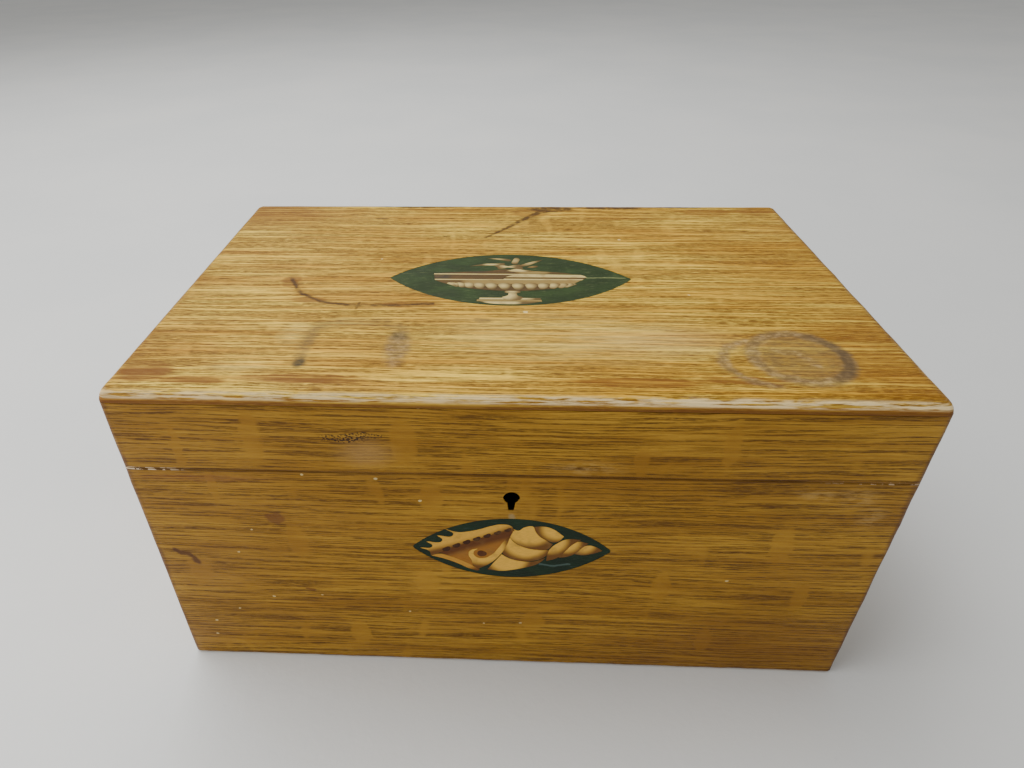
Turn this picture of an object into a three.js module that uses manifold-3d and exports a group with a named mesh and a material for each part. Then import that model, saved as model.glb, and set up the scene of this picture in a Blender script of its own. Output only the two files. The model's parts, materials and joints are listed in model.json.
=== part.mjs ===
// A small oak box with a deep hinged lid, two inlaid pateras and a box lock.
//
// Millimetres, +Z up. The origin is under the middle of the box, on the surface it stands on.
// +X runs to the right along the front, and +Y runs from the front to the hinges at the back.
// The front is the face at y = -DEPTH / 2, with the keyhole and the shell patera.

import * as THREE from "three";
import { mergeVertices } from "three/addons/utils/BufferGeometryUtils.js";
import Module from "manifold-3d";

const wasm = await Module();
wasm.setup();

// Case
const WIDTH = 330;
const DEPTH = 213;
const HEIGHT = 169;
const LID_HEIGHT = 40;
const WALL = 10;
const TOP_THICK = 6;
const BOTTOM_THICK = 6;
const REBATE = 4;
const TOP_EDGE_ROUND = 5.5;
const FOOT_EDGE_ROUND = 1.5;
const CORNER_ROUND = 3;
const SEAM_GAP = 0.3;
const JOINT_GAP = 0.3;

// How far the lid opens, and the play left between the bevels that stop it there
const LID_OPENS_DEG = 100;
const STOP_PLAY_DEG = 2;

// Hinges, let into the rims at the back
const HINGE_LENGTH = 38;
const HINGE_FROM_END = 60;
const KNUCKLES = 3;
const KNUCKLE_R = 2.4;
const KNUCKLE_INSET = 0.2;
const PIN_R = 1;
const PIN_PLAY = 0.15;
const PIN_CHAMFER = 0.3;
const LEAF_THICK = 1.4;
const LEAF_FROM_INSIDE = 0.6;
const MOVING_GAP = 0.4;
const HINGE_SCREW_FROM_END = 6;

// Countersunk screws
const SCREW_HEAD_R = 1.5;
const SCREW_HEAD_RIM = 0.2;
const SCREW_HEAD_DEEP = 1;
const SCREW_R = 0.8;
const SCREW_LENGTH = 7;
const SCREW_POINT = 1.5;
const SCREW_SLOT_WIDE = 0.5;
const SCREW_SLOT_DEEP = 0.4;
const SCREW_PLAY = 0.25;

// Lock, let into the inner face and the rim of the front
const LOCK_PLATE_HEIGHT = 33;
const LOCK_PLATE_THICK = 1.5;
const LOCK_CASE_WIDTH = 40;
const LOCK_CASE_HEIGHT = 26;
const LOCK_DEPTH = 6.5;
const SELVEDGE_LENGTH = 58;
const SELVEDGE_WIDTH = 8;
const SELVEDGE_THICK = 1.5;
const LOCK_SCREW_FROM_END = 4.5;
const FIT = 0.3;

// Keyhole, measured down from the seam
const KEYHOLE_DROP = 12.5;
const KEYHOLE_R = 3.2;
const KEYHOLE_LENGTH = 10.2;
const KEYHOLE_SLOT_TOP = 3.4;
const KEYHOLE_SLOT_FOOT = 2.4;
const KEYHOLE_IN_LOCK = 3;

// Striking plate in the lid, with two links that drop into the lock
const STRIKE_LENGTH = 44;
const STRIKE_WIDTH = 6;
const STRIKE_THICK = 1.5;
const STRIKE_SCREW_FROM_END = 4.5;
const LINK_SPREAD = 20;
const LINK_THICK = 2;
const LINK_WIDE = 3.2;
const LINK_DROP = 6;
const LINK_EYE_R = 0.9;
const LINK_PLAY = 0.3;

// Pateras, pointed ovals let in flush and laid by hand a little off the middle
const PATERA_THICK = 1.2;
const PATERA_TIP_ROUND = 1.5;
const INLAY_GAP = 0.25;
const FRONT_PATERA_LENGTH = 88;
const FRONT_PATERA_HEIGHT = 37.6;
const FRONT_PATERA_DROP = 43.4;
const FRONT_PATERA_RIGHT = 0.5;
const LID_PATERA_LENGTH = 121;
const LID_PATERA_HEIGHT = 59;
const LID_PATERA_FORWARD = 3;
const LID_PATERA_LEFT = 1.5;

// How far a cutting shape runs past what it cuts, and the fineness of round work
const BEYOND = 2;
const ROUND_SIDES = 20;
const SCREW_SIDES = 10;
const ARC_STEPS = 4;
const OUTLINE_STEPS = 7;

const seamZ = HEIGHT - LID_HEIGHT;
const lidRimZ = seamZ + SEAM_GAP;
const lidWallTopZ = HEIGHT - TOP_THICK - JOINT_GAP;
const innerX = WIDTH / 2 - WALL;
const innerY = DEPTH / 2 - WALL;
const hingeX = WIDTH / 2 - HINGE_FROM_END;
const hingeAxisY = DEPTH / 2 - KNUCKLE_R - KNUCKLE_INSET;
const hingeAxisZ = seamZ + SEAM_GAP / 2;
const leafReach = hingeAxisY - innerY - LEAF_FROM_INSIDE;
const linkY = -innerY - (LOCK_DEPTH + LOCK_PLATE_THICK) / 2;

const oak = new THREE.MeshStandardMaterial({ color: 0xb5853f, roughness: 0.42 });
const topOak = new THREE.MeshStandardMaterial({ color: 0xc9a263, roughness: 0.42 });
const plainOak = new THREE.MeshStandardMaterial({ color: 0xb6945c, roughness: 0.7 });
const greenVeneer = new THREE.MeshStandardMaterial({ color: 0x2d4a40, roughness: 0.5 });
const paleVeneer = new THREE.MeshStandardMaterial({ color: 0xc7a468, roughness: 0.5 });
const brass = new THREE.MeshStandardMaterial({ color: 0xa98645, roughness: 0.4, metalness: 1 });
const steel = new THREE.MeshStandardMaterial({ color: 0x77736c, roughness: 0.45, metalness: 1 });

// Turns a closed three.js geometry into a solid that can be cut and joined
function solidOf(geometry) {
  const bare = geometry.clone();
  bare.deleteAttribute("normal");
  bare.deleteAttribute("uv");
  const merged = mergeVertices(bare);
  const corners = merged.index.array;
  const triangles = [];
  for (let i = 0; i < corners.length; i += 3) {
    const [a, b, c] = corners.slice(i, i + 3);
    if (a !== b && b !== c && c !== a) {
      triangles.push(a, b, c);
    }
  }
  const mesh = new wasm.Mesh({
    numProp: 3,
    vertProperties: new Float32Array(merged.attributes.position.array),
    triVerts: new Uint32Array(triangles),
  });
  return new wasm.Manifold(mesh);
}

// A named mesh of a solid, in a material
function meshOf(name, solid, material) {
  const { vertProperties, triVerts } = solid.getMesh();
  const geometry = new THREE.BufferGeometry();
  geometry.setAttribute("position", new THREE.BufferAttribute(Float32Array.from(vertProperties), 3));
  geometry.setIndex(new THREE.BufferAttribute(Uint32Array.from(triVerts), 1));
  geometry.computeVertexNormals();
  const mesh = new THREE.Mesh(geometry, material);
  mesh.name = name;
  return mesh;
}

// A block between two corners, given as a range along each axis
function block([x0, x1], [y0, y1], [z0, z1]) {
  const geometry = new THREE.BoxGeometry(x1 - x0, y1 - y0, z1 - z0);
  geometry.translate((x0 + x1) / 2, (y0 + y1) / 2, (z0 + z1) / 2);
  return solidOf(geometry);
}

// A round rod along X between two places, about a given axis
function rodAlongX(radius, [x0, x1], y, z) {
  const geometry = new THREE.CylinderGeometry(radius, radius, x1 - x0, ROUND_SIDES);
  geometry.rotateZ(Math.PI / 2);
  geometry.translate((x0 + x1) / 2, y, z);
  return solidOf(geometry);
}

// A flat shape drawn in X and Y, given a thickness along Z
function slab(shape, [z0, z1], steps = OUTLINE_STEPS) {
  const geometry = new THREE.ExtrudeGeometry(shape, {
    depth: z1 - z0,
    bevelEnabled: false,
    curveSegments: steps,
  });
  geometry.translate(0, 0, z0);
  return solidOf(geometry);
}

// A shape from straight lines between corners
function polygon(corners) {
  return new THREE.Shape(corners.map(([x, y]) => new THREE.Vector2(x, y)));
}

// A rectangle about the origin with its own rounding at the foot and at the top corners
function roundedRectangle(width, [low, high], footRound, topRound) {
  const half = width / 2;
  const shape = new THREE.Shape();
  shape.absarc(half - footRound, low + footRound, footRound, -Math.PI / 2, 0, false);
  shape.absarc(half - topRound, high - topRound, topRound, 0, Math.PI / 2, false);
  shape.absarc(topRound - half, high - topRound, topRound, Math.PI / 2, Math.PI, false);
  shape.absarc(footRound - half, low + footRound, footRound, Math.PI, 1.5 * Math.PI, false);
  return shape;
}

// The whole outside of the box: upright corners, foot and top edges all rounded
function outside() {
  const upright = slab(
    roundedRectangle(WIDTH, [-DEPTH / 2, DEPTH / 2], CORNER_ROUND, CORNER_ROUND),
    [0, HEIGHT],
    ARC_STEPS,
  );
  const across = new THREE.ExtrudeGeometry(
    roundedRectangle(WIDTH, [0, HEIGHT], FOOT_EDGE_ROUND, TOP_EDGE_ROUND),
    { depth: DEPTH, bevelEnabled: false, curveSegments: ARC_STEPS },
  );
  across.rotateX(Math.PI / 2);
  across.translate(0, DEPTH / 2, 0);
  const along = new THREE.ExtrudeGeometry(
    roundedRectangle(DEPTH, [0, HEIGHT], FOOT_EDGE_ROUND, TOP_EDGE_ROUND),
    { depth: WIDTH, bevelEnabled: false, curveSegments: ARC_STEPS },
  );
  along.rotateX(Math.PI / 2);
  along.rotateZ(Math.PI / 2);
  along.translate(-WIDTH / 2, 0, 0);
  return upright.intersect(solidOf(across)).intersect(solidOf(along));
}

// The groove along the back seam, which lets the lid swing over and then stops it
function backGroove() {
  const bevel = THREE.MathUtils.degToRad((LID_OPENS_DEG + STOP_PLAY_DEG) / 2);
  const reach = DEPTH / 2 + BEYOND - hingeAxisY;
  const geometry = new THREE.ExtrudeGeometry(
    polygon([[0, 0], [reach, -reach * Math.tan(bevel)], [reach, reach * Math.tan(bevel)]]),
    { depth: WIDTH + 2 * BEYOND, bevelEnabled: false },
  );
  geometry.rotateX(Math.PI / 2);
  geometry.rotateZ(Math.PI / 2);
  geometry.translate(-WIDTH / 2 - BEYOND, hingeAxisY, hingeAxisZ);
  return solidOf(geometry);
}

// The wedge of plan in which one wall lies, bounded by the mitres at its two ends
function mitreWedge(length, distance, turn) {
  const half = length / 2 - JOINT_GAP * Math.SQRT1_2;
  const inward = WALL + REBATE;
  const shape = polygon([
    [-half - BEYOND, -distance - BEYOND],
    [half + BEYOND, -distance - BEYOND],
    [half - inward, -distance + inward],
    [-half + inward, -distance + inward],
  ]);
  return slab(shape, [-BEYOND, HEIGHT + BEYOND]).rotate([0, 0, turn]);
}

const walls = [
  { side: "front", wedge: mitreWedge(WIDTH, DEPTH / 2, 0) },
  { side: "right", wedge: mitreWedge(DEPTH, WIDTH / 2, 90) },
  { side: "back", wedge: mitreWedge(WIDTH, DEPTH / 2, 180) },
  { side: "left", wedge: mitreWedge(DEPTH, WIDTH / 2, 270) },
];

// A screw at the origin, point down, with its head flush at z = 0
function screw(play = 0) {
  const profile = [
    [0, -SCREW_LENGTH - play],
    [SCREW_R + play, -SCREW_LENGTH + SCREW_POINT],
    [SCREW_R + play, -SCREW_HEAD_DEEP],
    [SCREW_HEAD_R + play, -SCREW_HEAD_RIM],
    [SCREW_HEAD_R + play, play],
    [0, play],
  ];
  const geometry = new THREE.LatheGeometry(
    profile.map(([r, z]) => new THREE.Vector2(r, z)),
    SCREW_SIDES,
  );
  geometry.rotateX(Math.PI / 2);
  return solidOf(geometry);
}

// A screw with a slot across its head
function slottedScrew() {
  const reach = SCREW_HEAD_R + BEYOND;
  const slot = block(
    [-reach, reach],
    [-SCREW_SLOT_WIDE / 2, SCREW_SLOT_WIDE / 2],
    [-SCREW_SLOT_DEEP, BEYOND],
  );
  return screw().subtract(slot);
}

// Where each screw goes: its head's place, how its axis is turned and how its slot was left
const screws = [];

function addScrew(body, name, at, tiltDeg, slotDeg) {
  screws.push({ body, name, at, tiltDeg, slotDeg });
}

for (const [side, x] of [["left", -hingeX], ["right", hingeX]]) {
  for (const [end, shift] of [["outer", Math.sign(x)], ["inner", -Math.sign(x)]]) {
    const screwX = x + shift * (HINGE_LENGTH / 2 - HINGE_SCREW_FROM_END);
    const y = hingeAxisY - (leafReach + KNUCKLE_R) / 2;
    addScrew("base", `hinge_${side}_base_screw_${end}`, [screwX, y, seamZ], 0, 20 * shift);
    addScrew("lid", `hinge_${side}_lid_screw_${end}`, [screwX, y, lidRimZ], 180, 35 * shift);
  }
}
for (const [side, sign] of [["left", -1], ["right", 1]]) {
  const x = sign * (SELVEDGE_LENGTH / 2 - LOCK_SCREW_FROM_END);
  const footZ = seamZ - LOCK_PLATE_HEIGHT + LOCK_SCREW_FROM_END;
  const strikeX = sign * (STRIKE_LENGTH / 2 - STRIKE_SCREW_FROM_END);
  addScrew("base", `lock_screw_top_${side}`, [x, linkY, seamZ], 0, 30 * sign);
  addScrew("base", `lock_screw_foot_${side}`, [x, -innerY, footZ], -90, 50 * sign);
  addScrew("lid", `strike_screw_${side}`, [strikeX, linkY, lidRimZ], 180, 15 * sign);
}

// The room that each body's screws need in the wood and in the brass
function screwRoom(body) {
  const rooms = screws
    .filter((each) => each.body === body)
    .map(({ at, tiltDeg }) => screw(SCREW_PLAY).rotate([tiltDeg, 0, 0]).translate(at));
  return wasm.Manifold.union(rooms);
}

const baseScrewRoom = screwRoom("base");
const lidScrewRoom = screwRoom("lid");

// The range along a hinge of one knuckle, shortened or lengthened at both ends
function knuckleRange(index, change) {
  const pitch = HINGE_LENGTH / KNUCKLES;
  const start = -HINGE_LENGTH / 2 + index * pitch;
  return [start - change, start + pitch + change];
}

// One leaf about the pin's middle, below the seam for the base or above it for the lid
function hingeLeaf(below) {
  const near = SEAM_GAP / 2;
  const far = near + LEAF_THICK;
  const range = below ? [-far, -near] : [near, far];
  let leaf = block([-HINGE_LENGTH / 2, HINGE_LENGTH / 2], [-leafReach, 0], range);
  for (let index = 0; index < KNUCKLES; index += 1) {
    if ((index % 2 === 0) === below) {
      leaf = leaf.add(rodAlongX(KNUCKLE_R, knuckleRange(index, -MOVING_GAP / 2), 0, 0));
    }
  }
  for (let index = 0; index < KNUCKLES; index += 1) {
    if ((index % 2 === 0) !== below) {
      const room = rodAlongX(KNUCKLE_R + MOVING_GAP, knuckleRange(index, MOVING_GAP / 2), 0, 0);
      leaf = leaf.subtract(room);
    }
  }
  const pastEnds = [-HINGE_LENGTH / 2 - BEYOND, HINGE_LENGTH / 2 + BEYOND];
  return leaf.subtract(rodAlongX(PIN_R + PIN_PLAY, pastEnds, 0, 0));
}

// The room that a hinge's barrel needs in the wood of both rims
function barrelRoom(x) {
  const half = HINGE_LENGTH / 2 + FIT;
  return rodAlongX(KNUCKLE_R + MOVING_GAP, [x - half, x + half], hingeAxisY, hingeAxisZ);
}

// The shallow recess for a leaf in one rim
function leafRoom(x, below) {
  const half = HINGE_LENGTH / 2 + FIT;
  const deep = LEAF_THICK + FIT;
  const range = below ? [seamZ - deep, lidRimZ] : [seamZ, lidRimZ + deep];
  return block([x - half, x + half], [hingeAxisY - leafReach - FIT, hingeAxisY], range);
}

// The hinge pin, chamfered at both ends
function hingePin() {
  const half = HINGE_LENGTH / 2;
  const profile = [
    [0, -half],
    [PIN_R - PIN_CHAMFER, -half],
    [PIN_R, -half + PIN_CHAMFER],
    [PIN_R, half - PIN_CHAMFER],
    [PIN_R - PIN_CHAMFER, half],
    [0, half],
  ];
  const geometry = new THREE.LatheGeometry(
    profile.map(([r, x]) => new THREE.Vector2(r, x)),
    ROUND_SIDES,
  );
  geometry.rotateZ(Math.PI / 2);
  return solidOf(geometry);
}

// The keyhole's outline, with its round part about the origin
function keyholeShape() {
  const foot = KEYHOLE_R - KEYHOLE_LENGTH;
  const from = Math.asin(KEYHOLE_SLOT_TOP / 2 / KEYHOLE_R) - Math.PI / 2;
  const shape = new THREE.Shape();
  shape.absarc(0, 0, KEYHOLE_R, from, Math.PI - from, false);
  shape.lineTo(-KEYHOLE_SLOT_FOOT / 2, foot);
  shape.lineTo(KEYHOLE_SLOT_FOOT / 2, foot);
  return shape;
}

// The keyhole's cut, from before the front face to its depth in the lock
function keyholeRoom() {
  const caseFrontY = -innerY - LOCK_DEPTH;
  const startY = -DEPTH / 2 - BEYOND;
  const geometry = new THREE.ExtrudeGeometry(keyholeShape(), {
    depth: caseFrontY + KEYHOLE_IN_LOCK - startY,
    bevelEnabled: false,
    curveSegments: OUTLINE_STEPS,
  });
  geometry.rotateX(Math.PI / 2);
  geometry.translate(0, caseFrontY + KEYHOLE_IN_LOCK, seamZ - KEYHOLE_DROP);
  return solidOf(geometry);
}

// The lock's plate, case and selvedge, or with play the room that they need in the wood
function lockBody(play) {
  const half = SELVEDGE_LENGTH / 2 + play;
  const inside = -innerY + (play > 0 ? BEYOND : 0);
  const top = seamZ + (play > 0 ? BEYOND : 0);
  const plate = block(
    [-half, half],
    [-innerY - LOCK_PLATE_THICK - play, inside],
    [seamZ - LOCK_PLATE_HEIGHT - play, top],
  );
  const caseHalf = LOCK_CASE_WIDTH / 2 + play;
  const lockCase = block(
    [-caseHalf, caseHalf],
    [-innerY - LOCK_DEPTH - play, inside],
    [seamZ - SELVEDGE_THICK - LOCK_CASE_HEIGHT - play, top],
  );
  const selvedge = block(
    [-half, half],
    [-innerY - SELVEDGE_WIDTH - play, inside],
    [seamZ - SELVEDGE_THICK - play, top],
  );
  return plate.add(lockCase).add(selvedge);
}

// The two places where the links drop in, or with play the slots that take them
function links(play, [z0, z1]) {
  const halfX = LINK_THICK / 2 + play;
  const halfY = LINK_WIDE / 2 + play;
  const made = [-1, 1].map((sign) => {
    const x = sign * LINK_SPREAD / 2;
    return block([x - halfX, x + halfX], [linkY - halfY, linkY + halfY], [z0, z1]);
  });
  return made[0].add(made[1]);
}

// The striking plate with its links, each with an eye for the bolt
function strikePlate() {
  const half = STRIKE_LENGTH / 2;
  const plate = block(
    [-half, half],
    [linkY - STRIKE_WIDTH / 2, linkY + STRIKE_WIDTH / 2],
    [lidRimZ, lidRimZ + STRIKE_THICK],
  );
  const eyeZ = lidRimZ - LINK_DROP / 2;
  const eyes = rodAlongX(LINK_EYE_R, [-LINK_SPREAD, LINK_SPREAD], linkY, eyeZ);
  const hanging = links(0, [lidRimZ - LINK_DROP, lidRimZ + STRIKE_THICK / 2]);
  return plate.add(hanging.subtract(eyes)).subtract(lidScrewRoom);
}

// The room that the striking plate needs in the rim of the lid
function strikeRoom() {
  const half = STRIKE_LENGTH / 2 + FIT;
  const halfWide = STRIKE_WIDTH / 2 + FIT;
  return block(
    [-half, half],
    [linkY - halfWide, linkY + halfWide],
    [seamZ, lidRimZ + STRIKE_THICK + FIT],
  );
}

// A pointed oval of two arcs about the origin, with its tips rounded a little
function pateraShape(length, height, grow) {
  const rise = height / 2;
  const round = PATERA_TIP_ROUND;
  const tipX = length / 2 - round;
  const arcRadius = (tipX ** 2 + rise ** 2 - round ** 2) / (2 * (rise - round));
  const arcCentre = arcRadius - rise;
  const radius = arcRadius + grow;
  const tip = round + grow;
  const lean = Math.atan2(arcCentre, tipX);
  const shape = new THREE.Shape();
  shape.absarc(0, -arcCentre, radius, lean, Math.PI - lean, false);
  shape.absarc(-tipX, 0, tip, Math.PI - lean, Math.PI + lean, false);
  shape.absarc(0, arcCentre, radius, Math.PI + lean, 2 * Math.PI - lean, false);
  shape.absarc(tipX, 0, tip, -lean, lean, false);
  return shape;
}

// An oval in a patera, given by its middle, its two radii and its tilt
function oval([x, y], [rx, ry], tiltDeg, grow) {
  const shape = new THREE.Shape();
  const tilt = THREE.MathUtils.degToRad(tiltDeg);
  shape.absellipse(x, y, rx + grow, ry + grow, 0, 2 * Math.PI, false, tilt);
  return slab(shape, [-grow, PATERA_THICK + grow]);
}

// A level course of the urn, from one half-width at its foot to another at its head
function course([low, high], [footHalf, headHalf], grow) {
  const shape = polygon([
    [-footHalf - grow, low - grow],
    [footHalf + grow, low - grow],
    [headHalf + grow, high + grow],
    [-headHalf - grow, high + grow],
  ]);
  return slab(shape, [-grow, PATERA_THICK + grow]);
}

// Scales a figure's sizes from the patera that it is drawn on to the one that holds it
function scaleTo([length, height], drawn) {
  const share = Math.min(length / drawn.length, height / drawn.height);
  return (values) => values.map((value) => value * share);
}

// The covered urn of the lid's patera
function urn(grow) {
  const drawn = { length: 121, height: 59 };
  const at = scaleTo([LID_PATERA_LENGTH, LID_PATERA_HEIGHT], drawn);
  const rimAndLid = course(at([-3, 6.6]), at([39, 39]), grow);
  const dome = oval(at([0, 6]), at([30, 4.2]), 0, grow);
  const body = course(at([-7.5, -2]), at([28, 37.5]), grow);
  const belly = oval(at([0, -6.5]), at([29, 7.2]), 0, grow);
  const knop = oval(at([0, -14.8]), at([3.6, 2]), 0, grow);
  const stem = course(at([-22, -13]), at([4.6, 1.8]), grow);
  const foot = course(at([-27, -21.5]), at([13.5, 15.5]), grow);
  const finial = oval(at([2.5, 17.5]), at([2, 9]), 8, grow);
  const sprays = [-1, 1].map((side) => (
    oval(at([2 + side * 9, 14.8]), at([11, 1.6]), side * 20 - 5, grow)
  ));
  return [dome, body, belly, knop, stem, foot, finial, ...sprays]
    .reduce((whole, each) => whole.add(each), rimAndLid);
}

// The spired shell of the front's patera
function shell(grow) {
  const drawn = { length: 88, height: 37.6 };
  const at = scaleTo([FRONT_PATERA_LENGTH, FRONT_PATERA_HEIGHT], drawn);
  const lip = oval(at([-18.5, 2.3]), at([18.5, 4.6]), 26, grow);
  const mouth = oval(at([-15, -1.5]), at([13, 9.6]), 10, grow);
  const underLip = oval(at([-20, -7.6]), at([13, 3.6]), -22, grow);
  const bodyWhorl = oval(at([4, 0.4]), at([12.6, 14.6]), 8, grow);
  let whole = mouth.add(lip).add(underLip).add(bodyWhorl);
  const turns = 3;
  const shrink = 0.76;
  let size = 1;
  let x = 19.5;
  for (let turn = 0; turn < turns; turn += 1) {
    whole = whole.add(oval(at([x, 0]), at([8.4 * size, 4.6 * size]), 56 - 22 * turn, grow));
    size *= shrink;
    x += 9.8 * size;
  }
  const spikes = 4;
  for (let spike = 0; spike < spikes; spike += 1) {
    const share = spike / (spikes - 1);
    const middle = at([-34.6 + 10.4 * share, -2 + 9.8 * share]);
    whole = whole.add(oval(middle, at([3.8, 1.1]), 170 - 30 * share, grow));
  }
  return whole;
}

// A patera's ground, cut round its figure
function pateraGround(length, height, figure) {
  const plate = slab(pateraShape(length, height, 0), [0, PATERA_THICK]);
  return plate.subtract(figure(INLAY_GAP));
}

// The recess for a patera, about the origin and open upwards
function pateraRoom(length, height) {
  return slab(pateraShape(length, height, INLAY_GAP), [-JOINT_GAP, PATERA_THICK + BEYOND]);
}

const frontPateraPlace = [
  FRONT_PATERA_RIGHT,
  PATERA_THICK - DEPTH / 2,
  seamZ - FRONT_PATERA_DROP,
];
const lidPateraPlace = [-LID_PATERA_LEFT, -LID_PATERA_FORWARD, HEIGHT - PATERA_THICK];
const frontPateraRoom = pateraRoom(FRONT_PATERA_LENGTH, FRONT_PATERA_HEIGHT)
  .rotate([90, 0, 0])
  .translate(frontPateraPlace);
const lidPateraRoom = pateraRoom(LID_PATERA_LENGTH, LID_PATERA_HEIGHT)
  .translate(lidPateraPlace);

// The shell's patera stands in the front face, facing forwards
function onFront(mesh) {
  mesh.position.set(...frontPateraPlace);
  mesh.rotation.set(Math.PI / 2, 0, 0);
  return mesh;
}

// The urn's patera lies in the top, with the urn's foot towards the front
function onTop(mesh) {
  mesh.position.set(...lidPateraPlace);
  return mesh;
}

const everywhereX = [-WIDTH / 2 - BEYOND, WIDTH / 2 + BEYOND];
const everywhereY = [-DEPTH / 2 - BEYOND, DEPTH / 2 + BEYOND];
const shellOfBox = outside().subtract(backGroove());
const hollow = block([-innerX, innerX], [-innerY, innerY], [-BEYOND, HEIGHT + BEYOND]);

// The base's four walls as one ring, with the rebate for the bottom and the cuts for brass
function baseRing() {
  const rebate = block(
    [-innerX - REBATE, innerX + REBATE],
    [-innerY - REBATE, innerY + REBATE],
    [-BEYOND, BOTTOM_THICK + JOINT_GAP],
  );
  let ring = shellOfBox.intersect(block(everywhereX, everywhereY, [-BEYOND, seamZ]));
  ring = ring.subtract(hollow).subtract(rebate);
  for (const x of [-hingeX, hingeX]) {
    ring = ring.subtract(barrelRoom(x)).subtract(leafRoom(x, true));
  }
  ring = ring.subtract(lockBody(FIT)).subtract(keyholeRoom());
  return ring.subtract(frontPateraRoom).subtract(baseScrewRoom);
}

// The lid's four walls as one ring
function lidRing() {
  let ring = shellOfBox.intersect(block(everywhereX, everywhereY, [lidRimZ, lidWallTopZ]));
  ring = ring.subtract(hollow);
  for (const x of [-hingeX, hingeX]) {
    ring = ring.subtract(barrelRoom(x)).subtract(leafRoom(x, false));
  }
  return ring.subtract(strikeRoom()).subtract(lidScrewRoom);
}

const base = new THREE.Group();
const lid = new THREE.Group();
lid.position.set(0, hingeAxisY, hingeAxisZ);

// Boards
const baseWalls = baseRing();
const lidWalls = lidRing();
for (const { side, wedge } of walls) {
  base.add(meshOf(`base_${side}`, baseWalls.intersect(wedge), oak));
  lid.attach(meshOf(`lid_${side}`, lidWalls.intersect(wedge), oak));
}

const bottomHalfX = innerX + REBATE - JOINT_GAP;
const bottomHalfY = innerY + REBATE - JOINT_GAP;
const bottom = block(
  [-bottomHalfX, bottomHalfX],
  [-bottomHalfY, bottomHalfY],
  [0, BOTTOM_THICK],
);
base.add(meshOf("base_bottom", bottom, plainOak));

const top = shellOfBox
  .intersect(block(everywhereX, everywhereY, [HEIGHT - TOP_THICK, HEIGHT + BEYOND]))
  .subtract(lidPateraRoom);
lid.attach(meshOf("lid_top", top, topOak));

// Pateras
const shellGround = pateraGround(FRONT_PATERA_LENGTH, FRONT_PATERA_HEIGHT, shell);
const urnGround = pateraGround(LID_PATERA_LENGTH, LID_PATERA_HEIGHT, urn);
base.add(onFront(meshOf("front_patera_ground", shellGround, greenVeneer)));
base.add(onFront(meshOf("front_patera_shell", shell(0), paleVeneer)));
lid.attach(onTop(meshOf("lid_patera_ground", urnGround, greenVeneer)));
lid.attach(onTop(meshOf("lid_patera_urn", urn(0), paleVeneer)));

// Hinges
for (const [side, x] of [["left", -hingeX], ["right", hingeX]]) {
  const pieces = [
    [base, "base_leaf", hingeLeaf(true), baseScrewRoom, brass],
    [lid, "lid_leaf", hingeLeaf(false), lidScrewRoom, brass],
    [base, "pin", hingePin(), undefined, steel],
  ];
  for (const [body, piece, solid, room, material] of pieces) {
    const place = [x, hingeAxisY, hingeAxisZ];
    const away = place.map((value) => -value);
    const cut = room === undefined ? solid : solid.subtract(room.translate(away));
    const mesh = meshOf(`hinge_${side}_${piece}`, cut, material);
    mesh.position.set(...place);
    body.attach(mesh);
  }
}

// Lock and striking plate
const linkRoom = links(LINK_PLAY, [seamZ - LINK_DROP - SEAM_GAP, seamZ + BEYOND]);
const lock = lockBody(0).subtract(keyholeRoom()).subtract(linkRoom).subtract(baseScrewRoom);
base.add(meshOf("lock", lock, brass));
lid.attach(meshOf("striking_plate", strikePlate(), brass));

// Screws
for (const { body, name, at, tiltDeg, slotDeg } of screws) {
  const mesh = meshOf(name, slottedScrew(), brass);
  mesh.position.set(...at);
  mesh.rotation.set(
    THREE.MathUtils.degToRad(tiltDeg),
    0,
    THREE.MathUtils.degToRad(slotDeg),
  );
  (body === "base" ? base : lid).attach(mesh);
}

const group = new THREE.Group();
group.add(base, lid);

export default group;
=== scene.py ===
import json
import math

import bpy
from mathutils import Matrix, Vector


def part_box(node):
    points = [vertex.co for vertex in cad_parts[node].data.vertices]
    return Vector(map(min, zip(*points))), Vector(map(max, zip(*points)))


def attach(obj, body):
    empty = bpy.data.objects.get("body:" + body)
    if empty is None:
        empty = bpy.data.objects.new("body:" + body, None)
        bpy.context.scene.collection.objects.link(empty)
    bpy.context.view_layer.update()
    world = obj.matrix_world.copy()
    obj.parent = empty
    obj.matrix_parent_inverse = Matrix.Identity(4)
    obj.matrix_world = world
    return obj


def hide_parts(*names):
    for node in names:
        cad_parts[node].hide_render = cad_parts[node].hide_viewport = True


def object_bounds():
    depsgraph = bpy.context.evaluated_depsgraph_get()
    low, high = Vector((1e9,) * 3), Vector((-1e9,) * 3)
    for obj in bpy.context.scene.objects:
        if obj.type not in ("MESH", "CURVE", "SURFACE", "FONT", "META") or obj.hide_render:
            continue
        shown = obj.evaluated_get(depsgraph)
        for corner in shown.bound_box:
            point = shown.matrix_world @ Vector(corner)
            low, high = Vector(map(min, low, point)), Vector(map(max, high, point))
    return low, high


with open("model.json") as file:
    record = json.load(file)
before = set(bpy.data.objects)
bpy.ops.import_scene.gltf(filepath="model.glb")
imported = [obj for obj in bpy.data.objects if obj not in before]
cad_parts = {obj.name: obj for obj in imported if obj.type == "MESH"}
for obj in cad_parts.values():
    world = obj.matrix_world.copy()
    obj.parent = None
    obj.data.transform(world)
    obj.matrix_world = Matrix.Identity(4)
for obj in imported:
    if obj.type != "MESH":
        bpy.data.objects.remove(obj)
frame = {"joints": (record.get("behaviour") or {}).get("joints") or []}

bl_info = {
    "name": "Oak box",
    "version": (1, 0, 0),
    "blender": (4, 5, 0),
    "location": "3D View > Sidebar > Oak box",
    "description": "Builds an inlaid oak box with its hinges and lock round a fixed frame",
    "category": "Mesh",
}

MM = 0.001
CAD_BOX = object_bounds()


def in_mm(point):
    """A point or corner of the frame in millimetres."""
    return [value / MM for value in point]


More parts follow.
